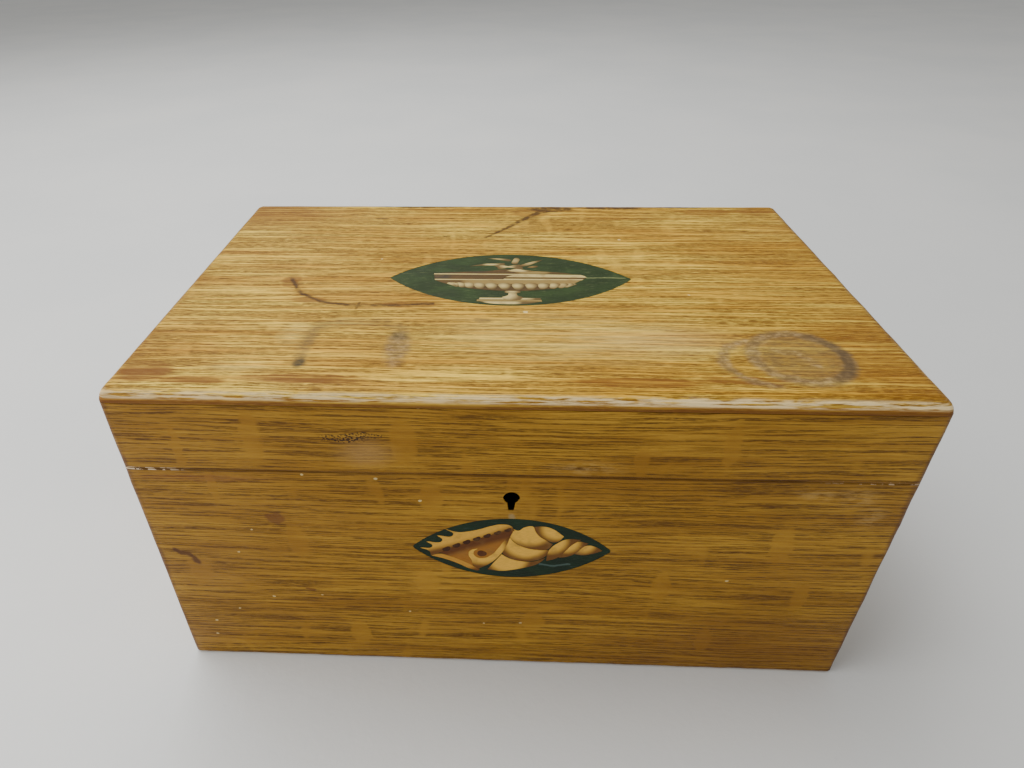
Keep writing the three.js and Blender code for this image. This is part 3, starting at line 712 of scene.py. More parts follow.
def lay_top_marks(finish, rough_plane, plane, colour, roughness):
    """What use left on the top: cup rings, a spill, scratches, a burn and worn edges, with painted light: a
    sheen over the middle front, a highlight along the nose, and shade under the nose and towards the right.
    """
    grey = tint(108, 90, 62)
    brown = tint(122, 76, 18)
    soot = tint(62, 36, 8)
    streaky = finish.noise(finish.x * 0.03, finish.y * 0.55, 50.0, 2.0, 0.6).fade(0.4, 0.58)
    blotchy = finish.noise(finish.x * 0.25, finish.y * 0.4, 9.0, 4.0, 0.65).fade(0.32, 0.6)
    fine_plane = finish.ragged(plane, 2.2, 0.9)
    # Darker round the edges, most at the back left corner and the right front
    patchy = finish.noise(finish.x * 0.035, finish.y * 0.05, 5.0, 3.0)
    from_side = (finish.x.size() - CASE_HIGH[0]) * -1
    grime = (from_side + patchy * 26).fade(24, 10)
    corner = finish.from_oval(plane, (-160, 100), (74, 48)).fade(1.2, 0.3)
    right_front = finish.from_oval(plane, (158, -70), (38, 50)).fade(1.2, 0.3)
    shadows = finish.most([grime * 0.6, corner * 0.8, right_front * 0.5])
    colour = finish.mix(colour, brown, shadows * (streaky * 0.5 + 0.5))
    # Painted shade: the top darkens evenly towards the right, away from the side lamp.
    colour = finish.mix(colour, brown, finish.x.fade(0, 165) * 0.2)
    bands = patches(finish, rough_plane, (
        (-84, -96, 30, 3.4), (48, -95.5, 26, 3.6), (96, -93, 26, 3), (-128, -98, 14, 3), (-150, -92, 12, 8),
    ))
    colour = finish.mix(colour, brown, bands * (streaky * 0.5 + 0.4))
    # Pale patches; the broad oval over the middle front is a painted sheen.
    pale = finish.most([
        finish.from_oval(rough_plane, middle, radii).fade(1.3, 0.2)
        for middle, radii in (((-97, -60), (8, 13)), ((-112, -88), (16, 5)), ((26, -60), (66, 26)))
    ])
    colour = finish.mix(colour, tint(255, 224, 120), pale * ((1 - streaky) * 0.3 + 0.08))
    # Painted sheen over the middle front.
    painted_sheen = finish.from_oval(rough_plane, (60, -64), (40, 14)).fade(1.3, 0.1)
    colour = finish.mix(colour, tint(236, 206, 150), painted_sheen * 0.14)
    # Cup rings
    from_ring = finish.from_oval(rough_plane, (116.8, -75.2), (18.4, 18.4))
    ring = (from_ring - 1).size().fade(0.26, 0.05)
    from_inner = finish.from_oval(rough_plane, (116.5, -76), (13.2, 12.4))
    inner_ring = (from_inner - 1).size().fade(0.14, 0.02)
    from_second = finish.from_oval(rough_plane, (104.5, -79.5), (19.4, 17.0))
    second = (from_second - 1).size().fade(0.2, 0.02) * finish.x.fade(108, 98)
    within = from_ring.fade(1.1, 0.7)
    smear = finish.from_path(rough_plane, [(108, -70), (117, -72), (122, -82)]).fade(3.0, 0.4)
    stain = finish.most([ring * 0.9, second * 0.75, inner_ring * 0.7, within * 0.66, smear * 0.7])
    colour = finish.mix(colour, grey, stain * (blotchy * 0.4 + 0.48))
    milky = finish.most([ring, second, smear]) * (1 - blotchy)
    colour = finish.mix(colour, tint(206, 180, 136), milky * 0.34)
    right_arc = ring * finish.x.fade(118, 134)
    colour = finish.mix(colour, tint(74, 60, 46), right_arc * 0.65)
    # Spill, with its dark foot and its right-hand patch
    leg = finish.from_path(rough_plane, [(-88, -56), (-89.5, -70), (-88.5, -85)]).fade(4.4, 0.4)
    arc = finish.from_path(rough_plane, [(-88, -54), (-76, -49.5), (-58, -50), (-50, -55)]).fade(6.5, 0.2)
    patch = finish.from_oval(rough_plane, (-49.5, -71), (6.2, 17)).fade(1.15, 0.5)
    dots = patches(finish, rough_plane, ((-14, -47, 4.4, 2.6),))
    spill = finish.most([leg * 0.7, arc * 0.65 * (streaky * 0.7 + 0.3), patch * 0.66, dots * 0.66])
    spill = spill * (blotchy * 0.6 + 0.36)
    colour = finish.mix(colour, grey, spill)
    colour = finish.mix(colour, tint(196, 168, 130), patch * (1 - blotchy) * 0.4)
    drop = finish.from_oval(rough_plane, (-88.3, -84), (2.8, 4.4)).fade(1.3, 0.4)
    drop = finish.most([drop, finish.from_oval(rough_plane, (-50, -62), (3.6, 4.4)).fade(1.3, 0.3) * 0.7])
    colour = finish.mix(colour, tint(68, 60, 40), drop * (blotchy * 0.3 + 0.6))
    # Scratch that curves over the left half, and the burn towards the back
    scratch = finish.from_path(
        fine_plane, [(-113, -4), (-104, -21), (-92, -30), (-74, -34), (-56, -33), (-38, -31)]
    )
    broken = finish.noise(finish.x * 0.14, finish.y * 0.14, 4.0, 3.0).fade(0.36, 0.52)
    scratch_line = scratch.fade(1.9, 0.2) * (broken * 0.55 + 0.45)
    tick = finish.from_path(plane, [(-73, -30.5), (-73.6, -37)]).fade(1.0, 0.3)
    smudge = patches(finish, rough_plane, ((-48, -32, 15, 3.6), (-112, -8, 5, 7), (-98, -28, 9, 3)))
    smudge = finish.most([smudge * 0.7, scratch.fade(4.4, 0.5) * 0.4])
    colour = finish.mix(colour, brown, smudge * (streaky * 0.4 + 0.6))
    colour = finish.mix(colour, soot, finish.most([scratch_line * 0.85, tick * 0.6]))
    burn = finish.from_path(
        fine_plane, [(-15, 50.5), (-4, 64), (6, 78), (17, 91.5), (35, 97)]
    )
    charred = finish.noise(finish.x * 0.3, finish.y * 0.3, 8.0, 3.0).fade(0.36, 0.54)
    thicker = finish.y.fade(48, 92) * 1.4
    burn_line = (burn - thicker).fade(1.6, 0.0) * (charred * 0.5 + 0.5)
    edge_burn = patches(finish, rough_plane, (
        (60, 99.5, 20, 3.6), (24, 97, 14, 5), (-60, 100.5, 26, 2), (104, 101, 14, 2),
    ))
    scorch = patches(finish, rough_plane, ((119, 92, 16, 6), (12, 90, 12, 8), (148, 94, 12, 8)))
    colour = finish.mix(colour, brown, scorch * (streaky * 0.3 + 0.3))
    colour = finish.mix(colour, soot, finish.most([burn_line * 0.85, edge_burn * (charred * 0.5 + 0.3)]))
    holes = patches(finish, fine_plane, ((-37.7, 52, 2.6, 0.8), (-80, 80, 4, 1.0), (6, 54, 5, 0.7)))
    colour = finish.mix(colour, soot, holes * 0.7)
    paint = specks(finish, fine_plane, ((5.7, -38.5, 1.1), (60, 48, 0.9), (-70, 20, 0.5), (84, -20, 0.6)))
    colour = finish.mix(colour, tint(246, 226, 160), paint * 0.8)
    # Nose and ends: a painted highlight along the nose where the varnish is also rubbed through, browner
    # wood round it, painted shade under the nose, and dark ends.
    colour = finish.mix(colour, tint(150, 100, 40), finish.z.fade(167.4, 165.4) * 0.6)
    nose_highlight = finish.z.fade(168.4, 167.2) * finish.z.fade(164.6, 165.8)
    rub_and_glint = finish.noise(finish.x * 0.06, finish.y * 0.06, finish.z * 1.1, 4.0, 0.65)
    nose_highlight = nose_highlight * rub_and_glint.fade(0.4, 0.56) * (finish.x.fade(-60, 90) * 0.25 + 0.75)
    colour = finish.mix(colour, tint(255, 230, 176), nose_highlight * 0.85)
    # Painted shade along the underside of the nose.
    colour = finish.mix(colour, tint(104, 60, 18), finish.z.fade(165.0, 163.8) * 0.75)
    ends = from_side.fade(4.5, 2.0) * finish.y.fade(-90, -60)
    colour = finish.mix(colour, tint(96, 58, 22), ends * 0.6)
    return colour, roughness + stain * 0.2 + spill * 0.15


def chosen_colour(name):
    """A colour that the user can change, in the numbers that a shader takes."""
    return (*getattr(bpy.context.scene.oak_box_colours, name), 1.0)


def oak_colours(part):
    return tuple(chosen_colour(f"{part}_{tone}") for tone in ("gold", "deep", "line"))


@made_once
def front_oak(name):
    finish = Finish(name)
    marks = {"rays": FRONT_RAYS, "lay": lay_front_marks}
    across = finish.z + (finish.y - CASE_LOW[1])
    return varnished_oak(finish, oak_colours("case"), finish.x, across, 1.3, marks=marks)


@made_once
def back_oak(name):
    finish = Finish(name)
    marks = {"lay": lay_side_marks}
    across = finish.z + finish.y
    return varnished_oak(finish, oak_colours("case"), finish.x, across, 61.0, marks=marks)


@made_once
def side_oak(name):
    finish = Finish(name)
    marks = {"lay": lay_side_marks}
    across = finish.z + finish.x
    return varnished_oak(finish, oak_colours("case"), finish.y, across, 83.0, marks=marks)


@made_once
def honey_oak(name):
    finish = Finish(name)
    # The lines run on round the nose at the front
    across = finish.y + (finish.z - CASE_HIGH[2])
    marks = {"lay": lay_top_marks}
    return varnished_oak(finish, oak_colours("top"), finish.x, across, 7.7, 0.95, 0.05, marks)


@made_once
def bare_oak(name):
    finish = Finish(name)
    colours = tint(192, 156, 92), tint(156, 118, 62), tint(104, 70, 30)
    return varnished_oak(finish, colours, finish.x, finish.y, 29.0, bare=False)


OAK_OF_SIDE = {"front": front_oak, "back": back_oak, "right": side_oak, "left": side_oak}


@made_once
def green_veneer(name, face):
    """Dyed green veneer, darker on the front than on the faded lid."""
    finish = Finish(name)
    across = finish.z if face == "front" else finish.y
    along = finish.x
    faded = face == "lid"
    dark = chosen_colour(f"{face}_green")
    light = finish.shaded(dark, 2.0)
    clouds = finish.noise(along * 0.06, across * 0.12, 2.0, 3.0, 0.6).fade(0.35, 0.68)
    fibres = finish.noise(along * 0.25, across * 2.4, 6.0, 2.0, 0.6).fade(0.4, 0.7)
    colour = finish.mix(dark, light, clouds * 0.7 + fibres * 0.25)
    plane = finish.point(along, across)
    rough_plane = finish.ragged(plane, 3, 0.8)
    scuffs = finish.noise(along * 0.12, across * 1.3, 12.0, 3.0, 0.7).fade(0.6, 0.7)
    if faded:
        marks = finish.from_path(rough_plane, [(37, -1.6), (46, -1.3), (56, -1.6)]).fade(0.7, 0.2)
        marks = finish.most([marks, patches(finish, rough_plane, ((-45, -8, 4, 2.4),)) * scuffs])
        colour = finish.mix(colour, tint(158, 164, 110), finish.most([marks * 0.5, scuffs * 0.42]))
    else:
        marks = finish.from_path(rough_plane, [(13.5, 76), (19, 75), (27, 76.6)]).fade(0.9, 0.2)
        colour = finish.mix(colour, tint(96, 120, 118), finish.most([marks * 0.4, scuffs * 0.18]))
    finish.shader.inputs["Specular IOR Level"].default_value = WAX_SPECULAR
    roughness = finish.noise(along * 0.05, across * 0.05, 15.0, 2.0) * 0.3 + 0.3
    return finish.wear(colour, roughness, fibres, 0.05)


@made_once
def scorched_holly(name, face):
    """Holly veneers, each shaded brown outside its own disc as if dipped in hot sand."""
    finish = Finish(name)
    on_the_front = face == "front"
    patera = FRONT_PATERA if on_the_front else LID_PATERA
    middle = patera["z"] if on_the_front else patera["y"]
    along = finish.x - patera["x"]
    across = (finish.z if on_the_front else finish.y) - middle
    disc_x, disc_y, disc_r = finish.attribute("sand")
    tone = finish.attribute("cut")[0]
    away = finish.vector("SUBTRACT", finish.point(along, across), finish.point(disc_x, disc_y))
    beyond = finish.vector("LENGTH", away, output="Value") - disc_r
    grain = finish.noise(along * 0.5, across * 2.2, disc_x, 2.0, 0.6)
    scorch = (beyond + grain * 1.6).fade(-1.8, 2.4)
    pale = chosen_colour(f"{face}_holly")
    tan = tint(186, 132, 44) if on_the_front else tint(150, 126, 70)
    brown = tint(132, 78, 18) if on_the_front else tint(104, 82, 46)
    dark = tint(58, 28, 8) if on_the_front else tint(68, 58, 42)
    singed = tint(84, 42, 6) if on_the_front else tint(86, 64, 32)
    colour = finish.mix(pale, tan, tone.fade(0.0, 0.4))
    colour = finish.mix(colour, brown, tone.fade(0.4, 0.75))
    colour = finish.mix(colour, dark, tone.fade(0.75, 1.0))
    colour = finish.mix(colour, singed, scorch * 0.92)
    colour = finish.shaded(colour, grain * 0.5 + 0.76)
    soiled = finish.noise(along * 0.14, across * 0.14, 21.0, 3.0).fade(0.5, 0.72)
    colour = finish.mix(colour, tint(128, 96, 48), soiled * 0.4)
    finish.shader.inputs["Specular IOR Level"].default_value = WAX_SPECULAR
    roughness = finish.noise(along * 0.1, across * 0.1, 25.0, 2.0) * 0.2 + 0.34
    return finish.wear(colour, roughness, grain, 0.05)


@made_once
def aged_brass(name):
    finish = Finish(name)
    clouds = finish.noise(finish.x * 0.12, finish.y * 0.12, finish.z * 0.12, 4.0, 0.6)
    spots = finish.noise(finish.x * 0.7, finish.y * 0.7, finish.z * 0.7, 3.0, 0.7).fade(0.56, 0.68)
    brushed = finish.noise(finish.x * 0.2, finish.y * 3.0, finish.z * 3.0, 2.0)
    colour = finish.mix(tint(188, 142, 52), tint(118, 82, 30), clouds.fade(0.35, 0.62))
    colour = finish.mix(colour, tint(66, 48, 24), spots * 0.7)
    # Painted shade: the brass behind the keyhole is made nearly black and rougher, as the hollow lies in
    # shadow.
    keyhole_shade = finish.from_oval(finish.point(finish.x, finish.z), (0, KEYHOLE_Z - 2), (6, 9)).fade(1.1, 0.9)
    keyhole_shade = keyhole_shade * finish.y.fade(-96, -97)
    colour = finish.mix(colour, tint(2, 2, 2), keyhole_shade)
    finish.shader.inputs["Metallic"].default_value = 1.0
    roughness = clouds * 0.4 + brushed * 0.12 + 0.2 + spots * 0.2 + keyhole_shade * 0.4
    return finish.wear(colour, roughness, brushed, 0.03)


@made_once
def dull_steel(name):
    finish = Finish(name)
    clouds = finish.noise(finish.x * 0.3, finish.y * 0.3, finish.z * 0.3, 3.0, 0.6)
    turned = finish.noise(finish.x * 5.0, 1.0, 2.0, 2.0)
    colour = finish.mix(tint(150, 146, 138), tint(96, 78, 62), clouds.fade(0.42, 0.68))
    finish.shader.inputs["Metallic"].default_value = 1.0
    return finish.wear(colour, clouds * 0.4 + turned * 0.1 + 0.18, turned, 0.02)


@made_once
def pale_floor(name):
    finish = Finish(name)
    clouds = finish.noise(finish.x * 0.004, finish.y * 0.004, 1.0, 4.0, 0.55)
    fine = finish.noise(finish.x * 0.12, finish.y * 0.12, 3.0, 3.0, 0.6)
    colour = finish.mix(tint(222, 226, 231), tint(228, 231, 235), clouds.fade(0.3, 0.7))
    return finish.wear(colour, fine * 0.2 + 0.5, fine, 0.2)


# The boards

def whole_case(sizes):
    """The outside of the box in one block, with all its edges rounded and sliced for wear."""
    case = block("whole_case", CASE_LOW, CASE_HIGH)
    top_round = sizes.top_round / MM
    corner_round = sizes.corner_round / MM
    foot_round = sizes.foot_round / MM

    def width_of(start, end):
        if abs(start.z - end.z) > 1:
            return corner_round
        return top_round if start.z > CASE_HIGH[2] / 2 else foot_round

    round_edges(case, width_of, top_round, 6)
    for axis in range(3):
        slice_across(case, axis, evenly(CASE_LOW[axis], CASE_HIGH[axis], SLICE_STEP))
    wear_edges(case, sizes, top_round)
    return case


def wear_edges(case, sizes, reach):
    """Presses small dents into the rounded edges."""
    group = case.vertex_groups.new(name="edges")
    for vertex in case.data.vertices:
        place = vertex.co / MM
        near = [
            min(place[axis] - CASE_LOW[axis], CASE_HIGH[axis] - place[axis]) < reach
            for axis in range(3)
        ]
        if sum(near) > 1:
            group.add([vertex.index], 1.0, "REPLACE")
    pattern = bpy.data.textures.new("edge_dents", "CLOUDS")
    pattern.noise_scale = 0.011
    pattern.noise_depth = 2
    modifier = add_modifier(case, "DISPLACE")
    modifier.texture = pattern
    modifier.texture_coords = "LOCAL"
    modifier.vertex_group = group.name
    modifier.mid_level = 1.0
    modifier.strength = sizes.dent_depth
    apply_last_modifier(case)
    case.vertex_groups.clear()


def board_of(case, name, side, sizes):
    """One wall board cut from the whole case, mitred at both ends."""
    outward, along = SIDES[side]
    distance = CASE_HIGH[0] if outward.x else CASE_HIGH[1]
    half_length = CASE_HIGH[1] if outward.x else CASE_HIGH[0]
    inner = INNER_X if outward.x else INNER_Y
    half_gap = sizes.joint_gap / MM / 2
    board = copy_of(case, name)
    keep_below(board, outward * inner, -outward)
    for turn in (1, -1):
        corner = outward * distance + along * turn * half_length
        away = (along * turn - outward).normalized()
        keep_below(board, corner - away * half_gap, away)
    return board


def hinge_room(x, below):
    """The room for one hinge's barrel and leaf in a rim."""
    low_z = SEAM - LEAF_THICK - FIT if below else SEAM - 1
    high_z = LID_RIM + 1 if below else LID_RIM + LEAF_THICK + FIT
    half = HINGE_HALF + FIT
    leaf = block(
        "leaf_room",
        (x - half, PIN_Y - LEAF_REACH - FIT, low_z),
        (x + half, PIN_Y, high_z),
    )
    barrel = rod(
        "barrel_room",
        KNUCKLE_R + KNUCKLE_GAP,
        2 * half,
        (x, PIN_Y, PIN_Z),
        ALONG_X,
    )
    return leaf, barrel


def keyhole_outline():
    """The keyhole's outline about the middle of its round part, in X and Z."""
    start = math.asin(1.7 / KEYHOLE_R) - math.pi / 2
    sweep = math.pi - 2 * start
    steps = 28
    points = []
    for step in range(steps + 1):
        angle = start + sweep * step / steps
        points.append((KEYHOLE_R * math.cos(angle), KEYHOLE_R * math.sin(angle)))
    foot = KEYHOLE_R - KEYHOLE_LENGTH
    points.append((-1.2, foot + 0.3))
    points.append((-0.8, foot))
    points.append((0.8, foot))
    points.append((1.2, foot + 0.3))
    return points


def lens_outline(length, height, grow=0.0, steps=40):
    """A pointed oval of two arcs with its tips rounded a little."""
    rise = height / 2
    tip_x = length / 2 - PATERA_TIP_ROUND
    radius = (tip_x ** 2 + rise ** 2 - PATERA_TIP_ROUND ** 2) / (2 * (rise - PATERA_TIP_ROUND))
    centre = radius - rise
    lean = math.atan2(centre, tip_x)
    arcs = (
        (0, -centre, radius + grow, lean, math.pi - lean, steps),
        (-tip_x, 0, PATERA_TIP_ROUND + grow, math.pi - lean, math.pi + lean, 6),
        (0, centre, radius + grow, math.pi + lean, 2 * math.pi - lean, steps),
        (tip_x, 0, PATERA_TIP_ROUND + grow, -lean, lean, 6),
    )
    points = []
    for x, y, arc_radius, start, end, count in arcs:
        for step in range(count):
            angle = start + (end - start) * step / count
            points.append((x + arc_radius * math.cos(angle), y + arc_radius * math.sin(angle)))
    return points


def sheet_of(name, knots, low, high, grow=0.0, smooth=False, steps=6):
    """A flat piece between two heights, drawn in X and Y through its knots.

    A smooth outline runs round through the knots, except at those marked as tips.
    """
    data = bpy.data.curves.new(name, "CURVE")
    data.dimensions = "2D"
    data.fill_mode = "BOTH"
    data.extrude = (high - low) / 2 * MM
    data.offset = grow * MM
    data.resolution_u = steps
    if smooth:
        spline = data.splines.new("BEZIER")
        spline.bezier_points.add(len(knots) - 1)
        for point, knot in zip(spline.bezier_points, knots):
            point.co = (knot[0] * MM, knot[1] * MM, 0)
            kind = "VECTOR" if len(knot) > 2 else "AUTO"
            point.handle_left_type = kind
            point.handle_right_type = kind
    else:
        spline = data.splines.new("POLY")
        spline.points.add(len(knots) - 1)
        for point, knot in zip(spline.points, knots):
            point.co = (knot[0] * MM, knot[1] * MM, 0, 1)
    spline.use_cyclic_u = True
    piece = bpy.data.objects.new(name, data)
    bpy.context.scene.collection.objects.link(piece)
    take(piece)
    bpy.ops.object.convert(target="MESH")
    piece = name_piece(bpy.context.active_object, name)
    piece.location.z = (low + high) / 2 * MM
    settle(piece)
    face_outwards(piece)
    return piece


def on_front(piece):
    """Stands a flat piece up in the front patera's place."""
    place = (FRONT_PATERA["x"], CASE_LOW[1], FRONT_PATERA["z"])
    return moved(piece, place, UPRIGHT)


def on_top(piece):
    """Lays a flat piece in the lid patera's place."""
    return moved(piece, (LID_PATERA["x"], LID_PATERA["y"], CASE_HIGH[2]))


def patera_room(patera):
    outline = lens_outline(patera["length"], patera["height"], 0.12)
    return sheet_of("patera_room", outline, -VENEER_THICK - 0.3, 2)


def keyhole_room():
    """The keyhole's cut, from before the front to a little way into the lock."""
    room = sheet_of("keyhole_room", keyhole_outline(), -6.5, 4)
    return moved(room, (0, CASE_LOW[1], KEYHOLE_Z), UPRIGHT)


def lock_room(fit):
    """The lock's plate, case and selvedge, or with a fit the room for them."""
    inside = -INNER_Y + (2 if fit else 0)
    top = SEAM + (2 if fit else 0)
    half = LOCK_HALF + fit
    case_half = LOCK_CASE_HALF + fit
    plate = block(
        "lock_plate",
        (-half, -INNER_Y - LOCK_PLATE_THICK - fit, LOCK_PLATE_FOOT - fit),
        (half, inside, top),
    )
    works = block(
        "lock_case",
        (-case_half, -INNER_Y - LOCK_CASE_DEEP - fit, LOCK_CASE_FOOT - fit),
        (case_half, inside, top),
    )
    selvedge = block(
        "lock_selvedge",
        (-half, -INNER_Y - SELVEDGE_WIDE - fit, SEAM - SELVEDGE_THICK - fit),
        (half, inside, top),
    )
    return unite(plate, works, selvedge)


def screw_places():
    """Where each screw goes: its name, body, head's place and the way its point looks."""
    places = []
    for side, x in (("left", -HINGE_X), ("right", HINGE_X)):
        for end, shift in (("outer", math.copysign(1, x)), ("inner", -math.copysign(1, x))):
            at_x = x + shift * HINGE_SCREW_SPREAD
            at_y = PIN_Y - (LEAF_REACH + KNUCKLE_R) / 2
            name = f"hinge_{side}_%s_screw_{end}"
            places.append((name % "base", "base", (at_x, at_y, SEAM), "down", 20 * shift))
            places.append((name % "lid", "lid", (at_x, at_y, LID_RIM), "up", 35 * shift))
    for side, sign in (("left", -1), ("right", 1)):
        x = sign * (LOCK_HALF - 4.5)
        foot = (x, -INNER_Y, LOCK_PLATE_FOOT + 4.5)
        strike_x = sign * (STRIKE_HALF - 4.5)
        places.append((f"lock_screw_top_{side}", "base", (x, LINK_Y, SEAM), "down", 30 * sign))
        places.append((f"lock_screw_foot_{side}", "base", foot, "front", 50 * sign))
        places.append((f"strike_screw_{side}", "lid", (strike_x, LINK_Y, LID_RIM), "up", 15 * sign))
    return places


SCREW_TURNS = {"down": 0.0, "up": math.pi, "front": -math.pi / 2}


def screws_in(body, zone):
    """The place and turn of one body's screws whose heads are inside a zone."""
    found = []
    for _, of_body, place, way, _ in screw_places():
        inside = all(low <= value <= high for low, value, high in zip(zone[0], place, zone[1]))
        if of_body == body and inside:
            found.append((place, (SCREW_TURNS[way], 0, 0)))
    return found


def screw_rooms(body, zone):
    """The holes in the wood for the screws of a zone."""
    rooms = []
    for place, turn in screws_in(body, zone):
        middle = (0, 0, -SCREW_LENGTH / 2 + 0.7)
        room = rod("screw_room", SCREW_R + 0.2, SCREW_LENGTH + 2.4, middle, sides=12)
        rooms.append(moved(room, place, turn))
    return rooms


def ease_rim(piece, chosen, width):
    """Rounds over the sharp edges that a test picks by their middle."""
    take(piece)
    bpy.ops.object.mode_set(mode="EDIT")
    bpy.ops.mesh.select_mode(type="EDGE")
    bpy.ops.mesh.select_all(action="DESELECT")
    bpy.ops.mesh.edges_select_sharp(sharpness=math.radians(35))
    bpy.ops.object.mode_set(mode="OBJECT")
    mesh = piece.data
    for edge in mesh.edges:
        start, end = (mesh.vertices[index].co / MM for index in edge.vertices)
        edge.select = edge.select and chosen(start, end)
    for vertex in mesh.vertices:
        vertex.select = False
    for polygon in mesh.polygons:
        polygon.select = False
    picked = sum(edge.select for edge in mesh.edges)
    if not picked:
        raise RuntimeError(f"no edge of {piece.name} was picked to be eased")
    bpy.ops.object.mode_set(mode="EDIT")
    bpy.ops.mesh.bevel(offset=width * MM, segments=3, affect="EDGES", clamp_overlap=True)
    bpy.ops.object.mode_set(mode="OBJECT")


def at_height(*heights):
    """A test for edges that lie level at one of some heights."""
    def chosen(start, end):
        return any(abs(start.z - z) < 0.02 and abs(end.z - z) < 0.02 for z in heights)
    return chosen


def in_face_near(axis, level, middle, reach):
    """A test for edges in a level face, within reach of a place."""
    def chosen(start, end):
        in_face = abs(start[axis] - level) < 0.02 and abs(end[axis] - level) < 0.02
        return in_face and (start - middle).length < reach and (end - middle).length < reach
    return chosen


class OAKBOX_OT_base_boards(bpy.types.Operator):
    """Builds the base: four mitred walls and the bottom board"""
    bl_idname = "oakbox.base_boards"
    bl_label = "Base boards"
    bl_options = {"REGISTER", "UNDO"}

    def execute(self, context):
        sizes = context.scene.oak_box_sizes
        case = whole_case(sizes)
        for side in SIDES:
            board = board_of(case, f"oak_base_{side}", side, sizes)
            keep_below(board, (0, 0, SEAM), (0, 0, 1))
            if side != "front":
                keep_below(
                    board,
                    (0, PIN_Y, PIN_Z),
                    (0, math.sin(STOP_BEVEL), math.cos(STOP_BEVEL)),
                )
            face_outwards(board)
            ease_rim(board, at_height(SEAM), sizes.arris_round / MM)
            rebate = block(
                "rebate",
                (BOTTOM_LOW[0] - FIT, BOTTOM_LOW[1] - FIT, -2),
                (BOTTOM_HIGH[0] + FIT, BOTTOM_HIGH[1] + FIT, BOTTOM_HIGH[2] + FIT),
            )
            carve(board, rebate)
            if side == "back":
                for x in (-HINGE_X, HINGE_X):
                    carve(board, *hinge_room(x, True))
                carve(board, *screw_rooms("base", BACK_ZONE))
            if side == "front":
                carve(board, lock_room(FIT), on_front(patera_room(FRONT_PATERA)), keyhole_room())
                carve(board, *screw_rooms("base", FRONT_ZONE))
                keyhole_middle = Vector((0, CASE_LOW[1], KEYHOLE_Z - 2))
                ease_rim(board, in_face_near(1, CASE_LOW[1], keyhole_middle, 9), 0.35)
            shade(board)
            finish_piece(board, "base", "case_oak", OAK_OF_SIDE[side](), f"base_{side}")
        remove(case)
        bottom = block("oak_bottom", BOTTOM_LOW, BOTTOM_HIGH)
        soften(bottom, 0.4)
        shade(bottom)
        finish_piece(bottom, "base", "plain_oak", bare_oak(), "base_bottom")
        return {"FINISHED"}


class OAKBOX_OT_lid_boards(bpy.types.Operator):
    """Builds the lid: four mitred walls and the board over them with its rounded edge"""
    bl_idname = "oakbox.lid_boards"
    bl_label = "Lid boards"
    bl_options = {"REGISTER", "UNDO"}

    def execute(self, context):
        sizes = context.scene.oak_box_sizes
        case = whole_case(sizes)
        for side in SIDES:
            board = board_of(case, f"oak_lid_{side}", side, sizes)
            keep_below(board, (0, 0, LID_WALL_TOP), (0, 0, 1))
            keep_below(board, (0, 0, LID_RIM), (0, 0, -1))
            if side != "front":
                keep_below(
                    board,
                    (0, PIN_Y, PIN_Z),
                    (0, math.sin(STOP_BEVEL), -math.cos(STOP_BEVEL)),
                )
            face_outwards(board)
            ease_rim(board, at_height(LID_RIM), sizes.arris_round / MM)
            if side == "back":
                for x in (-HINGE_X, HINGE_X):
                    carve(board, *hinge_room(x, False))
                carve(board, *screw_rooms("lid", BACK_ZONE))
            if side == "front":
                room = block(
                    "strike_room",
                    (-STRIKE_HALF - FIT, LINK_Y - STRIKE_HALF_WIDE - FIT, SEAM - 2),
                    (STRIKE_HALF + FIT, LINK_Y + STRIKE_HALF_WIDE + FIT, LID_RIM + STRIKE_THICK + FIT),
                )
                carve(board, room)
                carve(board, *screw_rooms("lid", FRONT_ZONE))
            shade(board)
            finish_piece(board, "lid", "case_oak", OAK_OF_SIDE[side](), f"lid_{side}")
        top = name_piece(case, "oak_top")
        keep_below(top, (0, 0, TOP_FOOT), (0, 0, -1))
        face_outwards(top)
        carve(top, on_top(patera_room(LID_PATERA)))
        shade(top)
        finish_piece(top, "lid", "top_oak", honey_oak(), "lid_top")
        return {"FINISHED"}


# The inlays

def overlaps(one, other):
    """Whether two pieces' boxes overlap in X and Y."""
    for axis in (0, 1):
        ones = [vertex.co[axis] for vertex in one.data.vertices]
        others = [vertex.co[axis] for vertex in other.data.vertices]
        if max(ones) < min(others) or max(others) < min(ones):
            return False
    return True


class Marquetry:
    """Lays veneers from the uppermost down, each cut round those laid before it."""

    def __init__(self, name, gap, sink):
        self.name = name
        self.gap = gap
        self.sink = sink
        self.cutters = []
        self.veneers = []

    def cut_round(self, piece):
        for cutter in self.cutters:
            if overlaps(piece, cutter):
                combine(piece, cutter, "DIFFERENCE")
        return piece

    def lay(self, knots, tone, sand, smooth=True):
        """One veneer, with its tone and the disc inside which it isn't scorched."""
        name = f"{self.name}_{len(self.veneers)}"
        high = -self.sink
        veneer = self.cut_round(sheet_of(name, knots, -VENEER_THICK, high, 0, smooth))
        cutter = sheet_of("cutter", knots, -VENEER_THICK - 1, high + 1, self.gap, smooth)
        self.cutters.append(cutter)
        for attribute, values in (("sand", sand), ("cut", (tone, 0, 0))):
            layer = veneer.data.attributes.new(attribute, "FLOAT_VECTOR", "FACE")
            layer.data.foreach_set("vector", list(values) * len(veneer.data.polygons))
        self.veneers.append(veneer)

    def ground(self, name, patera):
        outline = lens_outline(patera["length"], patera["height"])
        plate = sheet_of(name, outline, -VENEER_THICK, -self.sink - 0.03)
        return self.cut_round(plate)

    def join(self, name):
        """All veneers of the figure as one piece."""
        take(self.veneers[0])
        for veneer in self.veneers:
            veneer.select_set(True)
        bpy.ops.object.join()
        remove(*self.cutters)
        return name_piece(self.veneers[0], name)


PALE = 0.0
TAN = 0.4
BROWN = 0.75
DARK = 1.0


